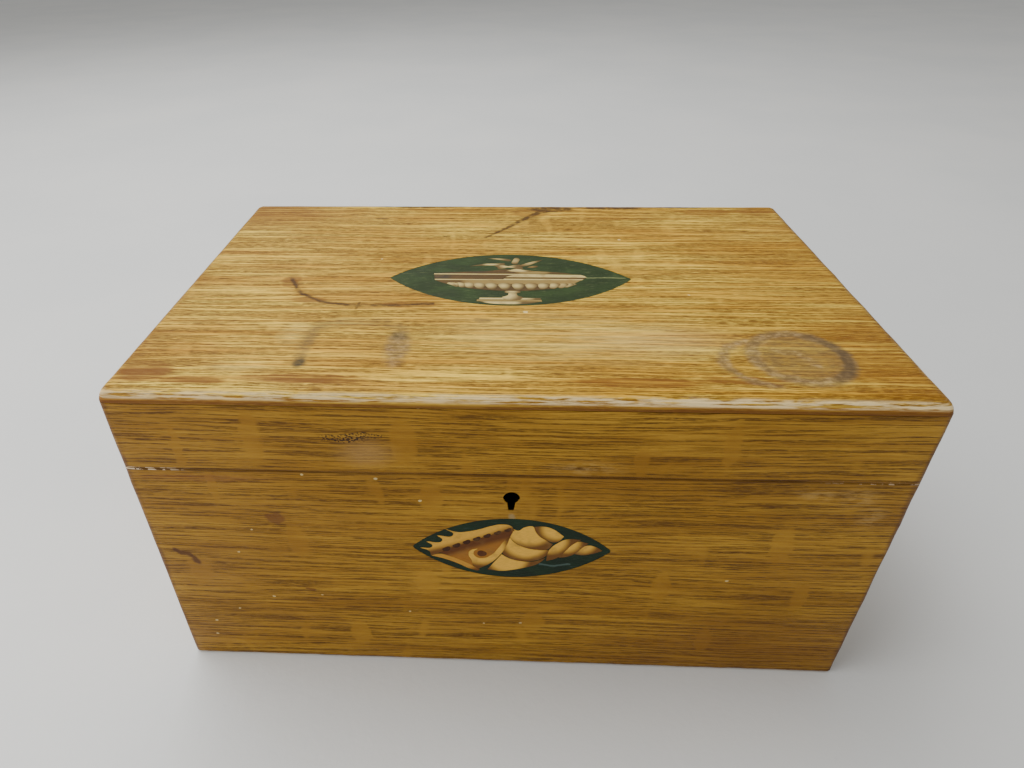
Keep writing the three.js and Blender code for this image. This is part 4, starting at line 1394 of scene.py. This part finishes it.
def lay_shell(work):
    """The spired shell: its mouth, its whorls and its spire."""
    # Hook of the inner lip, with the dark hollow that it curls round
    work.lay([
        (-14.6, -2.0), (-12.0, -2.2), (-11.0, -3.8), (-12.6, -5.2), (-14.8, -4.6),
    ], DARK, (-13.4, -2.2, 0.6))
    work.lay([
        (-0.6, 7.8, "tip"), (-2.4, 1.4), (-5.0, -4.2), (-9.4, -9.8), (-14.6, -13.6, "tip"),
        (-17.2, -11.6), (-17.8, -8.2), (-19.2, -4.6), (-18.2, -1.6), (-15.0, -0.4, "tip"),
        (-16.9, -2.6), (-16.2, -5.4), (-12.8, -6.6), (-8.8, -4.2), (-5.8, 0.2), (-3.2, 4.8),
    ], PALE, (-13.5, 0.5, 11.2))
    # Teeth along the inside of the outer lip
    teeth = 7
    for index in range(teeth):
        share = index / (teeth - 1)
        x = -29.0 + 27.4 * share
        z = -1.2 + 12.9 * share + 0.5 * math.sin(math.pi * share)
        lean = math.radians(26)
        long = 1.9 - 0.3 * share
        wide = 1.2 - 0.3 * share
        knots = []
        for u, v in ((-long, 0.5), (-0.3, wide), (long, 0.7), (0.3, -wide)):
            knots.append((
                x + u * math.cos(lean) - v * math.sin(lean),
                z + u * math.sin(lean) + v * math.cos(lean),
            ))
        work.lay(knots, DARK, (x, z, 9))
    # Mouth under the teeth
    work.lay([
        (-32.0, -3.6, "tip"), (-28.0, -1.0), (-22.0, 2.0), (-15.0, 5.6), (-8.0, 8.9), (-1.0, 11.4),
        (0.6, 11.0, "tip"), (-1.0, 7.0), (-3.2, 2.0), (-7.6, -3.4), (-12.0, -8.6), (-16.2, -12.4, "tip"),
        (-19.4, -10.2), (-24.4, -7.2), (-28.6, -5.2),
    ], 0.62, (63.7, -179.9, 197.6))
    # Outer lip with its spikes
    work.lay([
        (-36.4, -5.4, "tip"), (-37.0, -2.8), (-41.0, -0.7, "tip"), (-35.4, 0.4), (-38.0, 3.4, "tip"),
        (-30.8, 4.2), (-33.0, 7.4, "tip"), (-25.8, 8.0), (-29.2, 11.6, "tip"), (-23.6, 9.8),
        (-19.6, 10.3), (-14.4, 11.8), (-9.2, 14.0), (-4.6, 15.2), (-0.4, 14.4), (1.2, 11.4, "tip"),
        (-2.0, 11.0), (-8.0, 8.9), (-15.0, 5.6), (-22.0, 2.0), (-28.0, -1.0), (-32.4, -3.8),
    ], 0.16, (-96.9, 186.6, 198.2))
    # Lower lip, a narrow turned edge under the mouth
    work.lay([
        (-36.2, -5.6, "tip"), (-32.0, -4.4), (-28.0, -5.6), (-24.0, -7.4), (-19.4, -10.2),
        (-16.4, -12.6), (-14.4, -14.4), (-18.6, -13.8), (-23.6, -10.8), (-29.6, -7.8),
    ], 0.36, (-27, 6, 22))
    # Body whorls
    work.lay([
        (9.6, 14.2, "tip"), (13.4, 14.5), (17.4, 13.4), (23.0, 8.6, "tip"), (20.0, 5.0), (14.8, 6.4),
        (11.2, 10.0),
    ], PALE, (19.5, 13.0, 6.8))
    work.lay([
        (0.9, 12.4, "tip"), (2.9, 11.6), (5.4, 13.6), (9.2, 14.3), (11.2, 10.2), (14.6, 6.6),
        (18.4, 3.6, "tip"), (16.2, 0.3), (9.6, 0.2), (4.0, 2.2), (0.4, 5.6), (-0.8, 8.6),
    ], PALE, (8, 13.5, 11.2))
    work.lay([
        (-0.6, 7.0, "tip"), (1.0, 4.4), (4.4, 1.8), (10.0, -0.1), (16.8, -0.2, "tip"), (15.4, -4.4),
        (9.6, -7.6), (3.0, -7.5), (-1.4, -5.4), (-3.8, -2.8), (-2.4, 2.6),
    ], PALE, (6.5, 4.2, 10.2))
    work.lay([
        (-4.2, -3.8, "tip"), (-1.0, -6.2), (4.6, -8.0), (10.2, -8.0), (15.6, -5.4, "tip"),
        (12.0, -9.6), (6.4, -12.2), (0.4, -14.0), (-4.4, -14.8), (-10.6, -14.0, "tip"),
        (-8.4, -10.4),
    ], PALE, (-1.5, -6.5, 9.4))
    # Spire, each turn smaller than the last
    work.lay([
        (16.0, -7.4, "tip"), (16.2, -3.2), (17.6, 1.0), (20.4, 4.2), (24.4, 6.9), (30.6, 6.8, "tip"),
        (26.8, 3.4), (24.0, -0.8), (21.0, -5.0),
    ], PALE, (17.0, 5.4, 8.0))
    work.lay([
        (21.4, -5.0, "tip"), (23.6, -1.6), (26.2, 3.0), (29.4, 5.6), (34.0, 4.6, "tip"),
        (31.2, 1.4), (28.6, -2.0), (25.2, -4.2),
    ], PALE, (24.4, 4.4, 6.2))
    work.lay([
        (28.4, -2.4, "tip"), (30.4, 0.4), (33.2, 3.1), (37.0, 2.7), (40.6, 0.1, "tip"),
        (36.2, -1.9), (32.2, -2.9),
    ], PALE, (32.0, 3.6, 5.4))


def lay_urn(work):
    """The covered urn: its finial and ribbons, lid, rim, fluted bowl, stem and foot."""
    # Finial, a bud with thin sprays and crossed ribbons
    work.lay([
        (1.6, 17.4), (3.2, 17.2), (4.6, 20.4), (5.0, 24.2), (3.4, 25.4), (1.8, 22.6),
    ], 0.2, (2.2, 22, 3.0))
    work.lay([
        (0.6, 22.6), (-4.0, 24.2), (-12.4, 24.6, "tip"), (-5.0, 22.6), (0.2, 21.2),
    ], 0.2, (-6, 26, 4.0))
    work.lay([
        (-2.4, 17.4), (-7.6, 17.8), (-13.0, 17.4), (-21.0, 14.4, "tip"), (-13.0, 15.4), (-5.0, 16.0),
    ], PALE, (-10, 19, 4.4))
    work.lay([
        (5.2, 14.6), (8.0, 18.0), (12.0, 20.6), (17.4, 22.8, "tip"), (13.0, 18.6), (8.8, 15.4),
    ], 0.2, (9, 21, 5.0))
    work.lay([(8.6, 13.4, "tip"), (12.4, 15.2), (14.6, 14.8), (12.0, 13.0)], TAN, (11, 15, 2.0))
    for start, end in (((-7.6, 15.4), (6.8, 12.0)), ((-6.4, 12.2), (6.0, 15.8))):
        middle = ((start[0] + end[0]) / 2, (start[1] + end[1]) / 2)
        work.lay([
            start, (middle[0], middle[1] + 0.9), end, (middle[0], middle[1] - 0.5),
        ], PALE, (middle[0] - 1, middle[1] + 1, 3.6))
    # Domed lid, dark on its left and tan on its right
    work.lay([
        (-2.6, 8.9, "tip"), (0.6, 10.2), (3.6, 11.4), (7.4, 10.0), (12.6, 8.4, "tip"), (3.0, 8.2),
    ], PALE, (4, 10.4, 5.0))
    work.lay([
        (-38.6, 5.6, "tip"), (-26.0, 7.2), (-12.0, 8.6), (2.0, 9.4), (2.0, 5.6, "tip"),
    ], DARK, (-16, 12, 6.0))
    work.lay([
        (2.0, 9.4), (14.0, 8.6), (26.0, 7.2), (32.0, 5.8, "tip"), (2.0, 5.6, "tip"),
    ], TAN, (12, 11, 9.0))
    # Rim bars
    work.lay([(-38.8, 5.4), (2.0, 5.4), (2.0, 4.3), (-38.8, 4.3)], PALE, (-18, 5, 40), False)
    work.lay([
        (2.0, 5.4), (36.0, 4.6), (37.8, 3.4), (38.8, 1.6), (-2.2, 1.6), (2.0, 4.3),
    ], PALE, (20, 8, 60), False)
    work.lay([
        (-38.6, 4.2), (1.6, 4.2), (-2.4, 1.5), (-3.4, -1.0), (-38.0, -1.0),
    ], DARK, (-50, 2, 20), False)
    work.lay([(-2.2, 1.4), (38.6, 1.4), (37.2, -0.2), (-3.0, -0.2)], BROWN, (18, 4, 3), False)
    work.lay([
        (-38.0, -1.1), (-3.2, -1.1), (-3.0, -0.3), (37.0, -0.3), (36.0, -1.4), (-37.6, -2.2),
    ], PALE, (0, 0, 60), False)
    # Gadroons round the bowl, smaller towards the ends
    lobes = 14
    for index in range(lobes):
        share = (index + 0.5) / lobes * 2 - 1
        x = 0.8 + 29.6 * math.sin(share * math.pi / 2)
        half = 2.5 * math.cos(share * 1.2) + 0.4
        foot = -13.0 + 5.0 * abs(share) ** 1.6
        head = -6.4 + 0.7 * abs(share)
        lean = share * 3.4
        work.lay([
            (x - half + lean * 0.4, head), (x + half + lean * 0.4, head),
            (x + half * 0.9, (head + foot) / 2), (x - lean * 0.6, foot),
            (x - half * 0.9, (head + foot) / 2),
        ], PALE, (x - 0.9, (head + foot) / 2 + 1.4, 2.7))
    work.lay([
        (-37.4, -2.3, "tip"), (0, -2.0), (35.8, -1.5, "tip"), (32.4, -4.6), (28.4, -6.6), (0, -6.2),
        (-30.0, -7.0), (-34.4, -4.8),
    ], TAN, (6, 1, 30))
    work.lay([
        (-30.4, -6.4, "tip"), (0, -5.6), (29.4, -6.0, "tip"), (24.0, -9.8), (14.0, -12.6),
        (1.4, -13.9), (-12.0, -12.8), (-23.6, -10.2),
    ], DARK, (0, 0, 5))
    # Knop, stem and foot
    work.lay([(-2.6, -14.9), (1.4, -13.8), (5.2, -14.9), (1.4, -16.2)], PALE, (0.8, -14.2, 2.6))
    work.lay([
        (-0.2, -16.0), (3.0, -16.0), (3.6, -18.6), (6.2, -21.4), (-3.8, -21.4), (-1.0, -18.6),
    ], PALE, (-1, -19, 4.4))
    work.lay([(-14.4, -21.4), (14.6, -21.4), (14.8, -23.0), (-14.8, -23.0)], PALE, (-4, -21, 15), False)
    work.lay([(-15.8, -23.3), (15.0, -23.3), (15.2, -25.0), (-15.8, -25.0)], TAN, (-2, -23, 20), False)
    work.lay([
        (-14.8, -25.2, "tip"), (0, -25.2), (14.4, -25.2, "tip"), (8.0, -27.2), (0, -27.8), (-9.0, -27.2),
    ], PALE, (-4, -24, 9))


def figure(work, place, patera, lay, names, body, nodes):
    """Lays one patera, then gives its ground and its figure their materials and bodies."""
    face = "front" if body == "base" else "lid"
    lay(work)
    ground = work.ground(names[0], patera)
    veneers = work.join(names[1])
    for piece, slot, material, node in (
        (ground, "green_veneer", green_veneer(face), nodes[0]),
        (veneers, "pale_veneer", scorched_holly(face), nodes[1]),
    ):
        place(piece)
        shade(piece)
        finish_piece(piece, body, slot, material, node)


class OAKBOX_OT_front_patera(bpy.types.Operator):
    """Builds the pointed oval in the front, with the spired shell"""
    bl_idname = "oakbox.front_patera"
    bl_label = "Front patera"
    bl_options = {"REGISTER", "UNDO"}

    def execute(self, context):
        sizes = context.scene.oak_box_sizes
        work = Marquetry("shell_veneer", sizes.veneer_gap / MM, sizes.veneer_sink / MM)
        names = ("front_green_ground", "front_shell")
        nodes = ("front_patera_ground", "front_patera_shell")
        figure(work, on_front, FRONT_PATERA, lay_shell, names, "base", nodes)
        return {"FINISHED"}


class OAKBOX_OT_lid_patera(bpy.types.Operator):
    """Builds the pointed oval in the lid, with the covered urn"""
    bl_idname = "oakbox.lid_patera"
    bl_label = "Lid patera"
    bl_options = {"REGISTER", "UNDO"}

    def execute(self, context):
        sizes = context.scene.oak_box_sizes
        work = Marquetry("urn_veneer", sizes.veneer_gap / MM, sizes.veneer_sink / MM)
        names = ("lid_green_ground", "lid_urn")
        nodes = ("lid_patera_ground", "lid_patera_urn")
        figure(work, on_top, LID_PATERA, lay_urn, names, "lid", nodes)
        return {"FINISHED"}


# The brass

def leaf_shape(below):
    """One hinge leaf with its knuckles, about the middle of the pin."""
    near = FIT / 2
    far = near + LEAF_THICK
    low = -far if below else near
    high = -near if below else far
    leaf = block("leaf", (-HINGE_HALF, -LEAF_REACH, low), (HINGE_HALF, 0, high))
    pitch = 2 * HINGE_HALF / KNUCKLES
    for index in range(KNUCKLES):
        middle = (-HINGE_HALF + pitch * (index + 0.5), 0, 0)
        if (index % 2 == 0) == below:
            knuckle = rod("knuckle", KNUCKLE_R, pitch - KNUCKLE_GAP, middle, ALONG_X)
            soften(knuckle, 0.15)
            unite(leaf, knuckle)
        else:
            room = rod("room", KNUCKLE_R + KNUCKLE_GAP, pitch + KNUCKLE_GAP, middle, ALONG_X)
            carve(leaf, room)
    carve(leaf, rod("pin_room", PIN_R + PIN_PLAY, 2 * HINGE_HALF + 4, (0, 0, 0), ALONG_X))
    return leaf


def cone_room(place, turn):
    """The countersink and hole for one screw."""
    leave_all()
    bpy.ops.mesh.primitive_cone_add(
        vertices=24,
        radius1=SCREW_R * MM,
        radius2=(SCREW_HEAD_R + 0.45) * MM,
        depth=1.4 * MM,
        location=(0, 0, -0.5 * MM),
    )
    cone = settle(bpy.context.active_object)
    shank = rod("shank_room", SCREW_R + 0.2, 4, (0, 0, -2), sides=24)
    unite(cone, shank)
    return moved(cone, place, turn)


def countersinks(body, zone):
    return [cone_room(place, turn) for place, turn in screws_in(body, zone)]


class OAKBOX_OT_hinges(bpy.types.Operator):
    """Builds the two brass butt hinges with their pins"""
    bl_idname = "oakbox.hinges"
    bl_label = "Hinges"
    bl_options = {"REGISTER", "UNDO"}

    def execute(self, context):
        for side, x in (("left", -HINGE_X), ("right", HINGE_X)):
            for body, below in (("base", True), ("lid", False)):
                leaf = name_piece(leaf_shape(below), f"brass_hinge_{side}_{body}_leaf")
                moved(leaf, (x, PIN_Y, PIN_Z))
                zone = (x - 25, 90, 0), (x + 25, 106, 169)
                carve(leaf, *countersinks(body, zone))
                face_outwards(leaf)
                shade(leaf)
                node = f"hinge_{side}_{body}_leaf"
                finish_piece(leaf, body, "aged_brass", aged_brass(), node)
            pin = rod("pin", PIN_R, 2 * HINGE_HALF, (x, PIN_Y, PIN_Z), ALONG_X, 24)
            name_piece(pin, f"steel_hinge_{side}_pin")
            soften(pin, 0.3)
            shade(pin)
            finish_piece(pin, "base", "dull_steel", dull_steel(), f"hinge_{side}_pin")
        return {"FINISHED"}


def link_block(x, fit, low, high):
    return block(
        "link",
        (x - 1 - fit, LINK_Y - 1.6 - fit, low),
        (x + 1 + fit, LINK_Y + 1.6 + fit, high),
    )


class OAKBOX_OT_lock(bpy.types.Operator):
    """Builds the box lock in the front and the striking plate with its links in the lid"""
    bl_idname = "oakbox.lock"
    bl_label = "Lock and striking plate"
    bl_options = {"REGISTER", "UNDO"}

    def execute(self, context):
        lock = name_piece(lock_room(0), "brass_lock")
        face_outwards(lock)
        soften(lock, 0.2)
        carve(lock, keyhole_room())
        for x in (-LINK_X, LINK_X):
            carve(lock, link_block(x, FIT, SEAM - LINK_DROP - FIT, SEAM + 2))
        carve(lock, *countersinks("base", LOCK_ZONE))
        face_outwards(lock)
        shade(lock)
        finish_piece(lock, "base", "aged_brass", aged_brass(), "lock")
        plate = block(
            "striking",
            (-STRIKE_HALF, LINK_Y - STRIKE_HALF_WIDE, LID_RIM),
            (STRIKE_HALF, LINK_Y + STRIKE_HALF_WIDE, LID_RIM + STRIKE_THICK),
        )
        soften(plate, 0.2)
        for x in (-LINK_X, LINK_X):
            link = link_block(x, 0, LID_RIM - LINK_DROP, LID_RIM + STRIKE_THICK / 2)
            soften(link, 0.3, 3)
            eye = rod("eye", 0.9, 6, (x, LINK_Y, LID_RIM - LINK_DROP / 2), ALONG_X, 24)
            carve(link, eye)
            unite(plate, link)
        carve(plate, *countersinks("lid", LOCK_ZONE))
        name_piece(plate, "brass_striking_plate")
        face_outwards(plate)
        shade(plate)
        finish_piece(plate, "lid", "aged_brass", aged_brass(), "striking_plate")
        return {"FINISHED"}


def model_screw():
    """One slotted countersunk screw at the origin, point down, its head flush at the top."""
    leave_all()
    bpy.ops.mesh.primitive_circle_add(vertices=24, radius=SCREW_HEAD_R * MM, fill_type="NGON")
    screw = name_piece(bpy.context.active_object, "screw")
    steps = (
        (0.2, 1.0),
        (0.8, SCREW_R / SCREW_HEAD_R),
        (SCREW_LENGTH - 2.5, 1.0),
        (1.5, 0.12),
    )
    bpy.ops.object.mode_set(mode="EDIT")
    bpy.ops.mesh.select_all(action="SELECT")
    height = 0.0
    for drop, share in steps:
        height -= drop
        bpy.ops.mesh.extrude_region_move(TRANSFORM_OT_translate={"value": (0, 0, -drop * MM)})
        bpy.ops.transform.resize(value=(share, share, 1), center_override=(0, 0, height * MM))
    bpy.ops.object.mode_set(mode="OBJECT")
    face_outwards(screw)
    slot = block("slot", (-3, -0.25, -0.45), (3, 0.25, 2))
    carve(screw, slot)
    face_outwards(screw)
    return screw


class OAKBOX_OT_screws(bpy.types.Operator):
    """Builds one slotted brass screw and copies it to each of its places"""
    bl_idname = "oakbox.screws"
    bl_label = "Screws"
    bl_options = {"REGISTER", "UNDO"}

    def execute(self, context):
        pattern = model_screw()
        for name, body, place, way, slot_turn in screw_places():
            screw = copy_of(pattern, f"brass_{name}")
            moved(screw, (0, 0, 0), (0, 0, math.radians(slot_turn)))
            moved(screw, place, (SCREW_TURNS[way], 0, 0))
            shade(screw)
            finish_piece(screw, body, "aged_brass", aged_brass(), name)
        remove(pattern)
        return {"FINISHED"}


def hang_softbox(name, place, size, power):
    """One rectangular lamp that looks at the middle of the box."""
    leave_all()
    bpy.ops.object.light_add(
        type="AREA",
        location=place,
        rotation=(-place).to_track_quat("-Z", "Y").to_euler(),
    )
    light = bpy.context.active_object
    light.name = name
    light.data.name = name
    light.data.shape = "RECTANGLE"
    light.data.size = size[0]
    light.data.size_y = size[1]
    light.data.energy = power
    light.data.color = WARM_WHITE


class OAKBOX_OT_stage(bpy.types.Operator):
    """Sets up the pale floor, the soft light and the camera"""
    bl_idname = "oakbox.stage"
    bl_label = "Stage"
    bl_options = {"REGISTER", "UNDO"}

    def execute(self, context):
        settings = context.scene.oak_box_stage
        leave_all()
        bpy.ops.mesh.primitive_plane_add(size=12)
        floor = name_piece(bpy.context.active_object, "pale_floor")
        floor.data.materials.append(pale_floor())
        world = bpy.data.worlds.new("soft_studio")
        world.use_nodes = True
        background = world.node_tree.nodes["Background"]
        background.inputs["Color"].default_value = (*WARM_WHITE, 1)
        background.inputs["Strength"].default_value = settings.sky_light
        context.scene.world = world
        hang_softbox("overhead_softbox", Vector((-0.8, 0.5, 1.8)), (2.2, 1.4), settings.lamp_power)
        hang_softbox("side_softbox", Vector((-0.72, -0.5, 0.42)), (0.5, 0.4), settings.fill_power)
        pitch = settings.camera_pitch
        roll = settings.camera_roll
        turn = Matrix.Rotation(settings.camera_yaw, 3, "Z")
        forward = turn @ Vector((0, math.cos(pitch), -math.sin(pitch)))
        level = turn @ Vector((1, 0, 0))
        upward = level.cross(forward)
        right = level * math.cos(roll) + upward * math.sin(roll)
        upward = right.cross(forward)
        frame_of_view = Matrix((right, upward, -forward)).transposed()
        leave_all()
        bpy.ops.object.camera_add(
            location=CAMERA_PLACE,
            rotation=frame_of_view.to_euler(),
        )
        camera = context.active_object
        camera.name = "photo_view"
        camera.data.name = "photo_view"
        camera.data.sensor_fit = "HORIZONTAL"
        camera.data.sensor_width = SENSOR_WIDTH
        camera.data.lens = settings.lens
        camera.data.shift_x = settings.shift
        camera.data.clip_start = 0.01
        context.scene.camera = camera
        return {"FINISHED"}


def length_setting(name, description, default, low, high, precision):
    """A length property, given in millimetres."""
    return bpy.props.FloatProperty(
        name=name,
        description=description,
        default=default * MM,
        min=low * MM,
        max=high * MM,
        unit="LENGTH",
        precision=precision,
    )


class OAKBOX_PG_sizes(bpy.types.PropertyGroup):
    """Sizes of the boards and of the veneers"""
    top_round: length_setting(
        "Top rounding", "Radius of the rounded edge round the top board", 5.5, 1, 5.8, 4)
    corner_round: length_setting(
        "Corner rounding", "Radius of the four upright corners", 3, 0.5, 5, 4)
    foot_round: length_setting(
        "Foot rounding", "Radius of the edge round the underside", 1.8, 0.5, 4, 4)
    arris_round: length_setting(
        "Seam rounding", "Radius of the edges that meet at the seam between base and lid",
        0.45, 0.1, 1, 5)
    dent_depth: length_setting(
        "Dent depth", "How far the worn edges are pressed in at most", 0.5, 0, 1.5, 5)
    joint_gap: length_setting(
        "Mitre gap", "Gap left between two boards at a mitre", 0.1, 0.02, 0.3, 5)
    veneer_gap: length_setting(
        "Veneer gap", "Glue line between two veneers of an inlay", 0.08, 0.02, 0.2, 5)
    veneer_sink: length_setting(
        "Veneer sink", "How far the veneers lie below the wood round them", 0.02, 0, 0.2, 5)


def colour_setting(name, description, red, green, blue):
    """A colour property whose default is given as it looks on a screen."""
    return bpy.props.FloatVectorProperty(
        name=name,
        description=description,
        default=tint(red, green, blue)[:3],
        subtype="COLOR",
        size=3,
        min=0,
        max=1,
    )


class OAKBOX_PG_colours(bpy.types.PropertyGroup):
    """Main colours of the woods"""
    case_gold: colour_setting("Case gold", "Lightest colour of the walls' oak", 182, 138, 40)
    case_deep: colour_setting("Case brown", "Deeper colour of the walls' oak", 140, 96, 14)
    case_line: colour_setting("Case lines", "Colour of the pore lines in the walls' oak", 74, 42, 2)
    top_gold: colour_setting("Top gold", "Lightest colour of the top's faded oak", 255, 218, 84)
    top_deep: colour_setting("Top brown", "Deeper colour of the top's faded oak", 196, 140, 24)
    top_line: colour_setting("Top lines", "Colour of the pore lines in the top's oak", 88, 52, 4)
    front_green: colour_setting("Front green", "Darkest green of the front's inlay", 10, 30, 14)
    lid_green: colour_setting("Lid green", "Darkest green of the lid's faded inlay", 34, 50, 20)
    front_holly: colour_setting("Shell holly", "Palest veneer of the shell", 222, 172, 66)
    lid_holly: colour_setting("Urn holly", "Palest veneer of the urn", 206, 186, 122)


def power_setting(name, description, default, high):
    """The power of a lamp, in watts."""
    return bpy.props.FloatProperty(
        name=name, description=description, default=default, min=0, max=high, unit="POWER")


def angle_setting(name, description, degrees):
    """An angle whose default is given in degrees."""
    return bpy.props.FloatProperty(
        name=name, description=description, default=math.radians(degrees), subtype="ANGLE")


def number_setting(name, description, default, low, high):
    """A plain number between two limits."""
    return bpy.props.FloatProperty(
        name=name, description=description, default=default, min=low, max=high)


class OAKBOX_PG_stage(bpy.types.PropertyGroup):
    """Light and camera"""
    sky_light: number_setting("Sky light", "Strength of the light from all round", 0.42, 0, 3)
    lamp_power: power_setting("Lamp power", "Power of the softbox over the box", 48, 500)
    fill_power: power_setting(
        "Side lamp power", "Power of the small softbox at the left of the camera", 3.0, 100)
    lens: number_setting("Lens", "Focal length of the camera in millimetres", 23.81, 10, 100)
    shift: number_setting(
        "Shift", "Sideways shift of the lens, as a share of the picture's width",
        0.0405, -0.2, 0.2)
    camera_pitch: angle_setting("Camera pitch", "How far the camera looks down", 34.28)
    camera_yaw: angle_setting("Camera yaw", "How far the camera looks to the left", 3.176)
    camera_roll: angle_setting("Camera roll", "How far the camera leans over", -0.959)


OPERATORS = (
    OAKBOX_OT_base_boards,
    OAKBOX_OT_lid_boards,
    OAKBOX_OT_front_patera,
    OAKBOX_OT_lid_patera,
    OAKBOX_OT_hinges,
    OAKBOX_OT_lock,
    OAKBOX_OT_screws,
    OAKBOX_OT_stage,
)


class OAKBOX_PT_panel(bpy.types.Panel):
    """Lists the pieces of the box and the sizes that can be changed"""
    bl_idname = "OAKBOX_PT_panel"
    bl_label = "Oak box"
    bl_space_type = "VIEW_3D"
    bl_region_type = "UI"
    bl_category = "Oak box"

    def draw(self, context):
        layout = self.layout
        scene = context.scene
        for group in (scene.oak_box_sizes, scene.oak_box_colours, scene.oak_box_stage):
            column = layout.column()
            for name in group.bl_rna.properties.keys():
                if name not in {"rna_type", "name"}:
                    column.prop(group, name)
        for operator in OPERATORS:
            layout.operator(operator.bl_idname)


CLASSES = (OAKBOX_PG_sizes, OAKBOX_PG_colours, OAKBOX_PG_stage, *OPERATORS, OAKBOX_PT_panel)


def register():
    for each in CLASSES:
        bpy.utils.register_class(each)
    bpy.types.Scene.oak_box_sizes = bpy.props.PointerProperty(type=OAKBOX_PG_sizes)
    bpy.types.Scene.oak_box_colours = bpy.props.PointerProperty(type=OAKBOX_PG_colours)
    bpy.types.Scene.oak_box_stage = bpy.props.PointerProperty(type=OAKBOX_PG_stage)


def unregister():
    del bpy.types.Scene.oak_box_stage
    del bpy.types.Scene.oak_box_colours
    del bpy.types.Scene.oak_box_sizes
    for each in reversed(CLASSES):
        bpy.utils.unregister_class(each)


def main():
    register()
    bpy.ops.oakbox.stage()
    bpy.ops.oakbox.base_boards()
    bpy.ops.oakbox.lid_boards()
    bpy.ops.oakbox.front_patera()
    bpy.ops.oakbox.lid_patera()
    bpy.ops.oakbox.hinges()
    bpy.ops.oakbox.lock()
    bpy.ops.oakbox.screws()


if __name__ == "__main__":
    main()
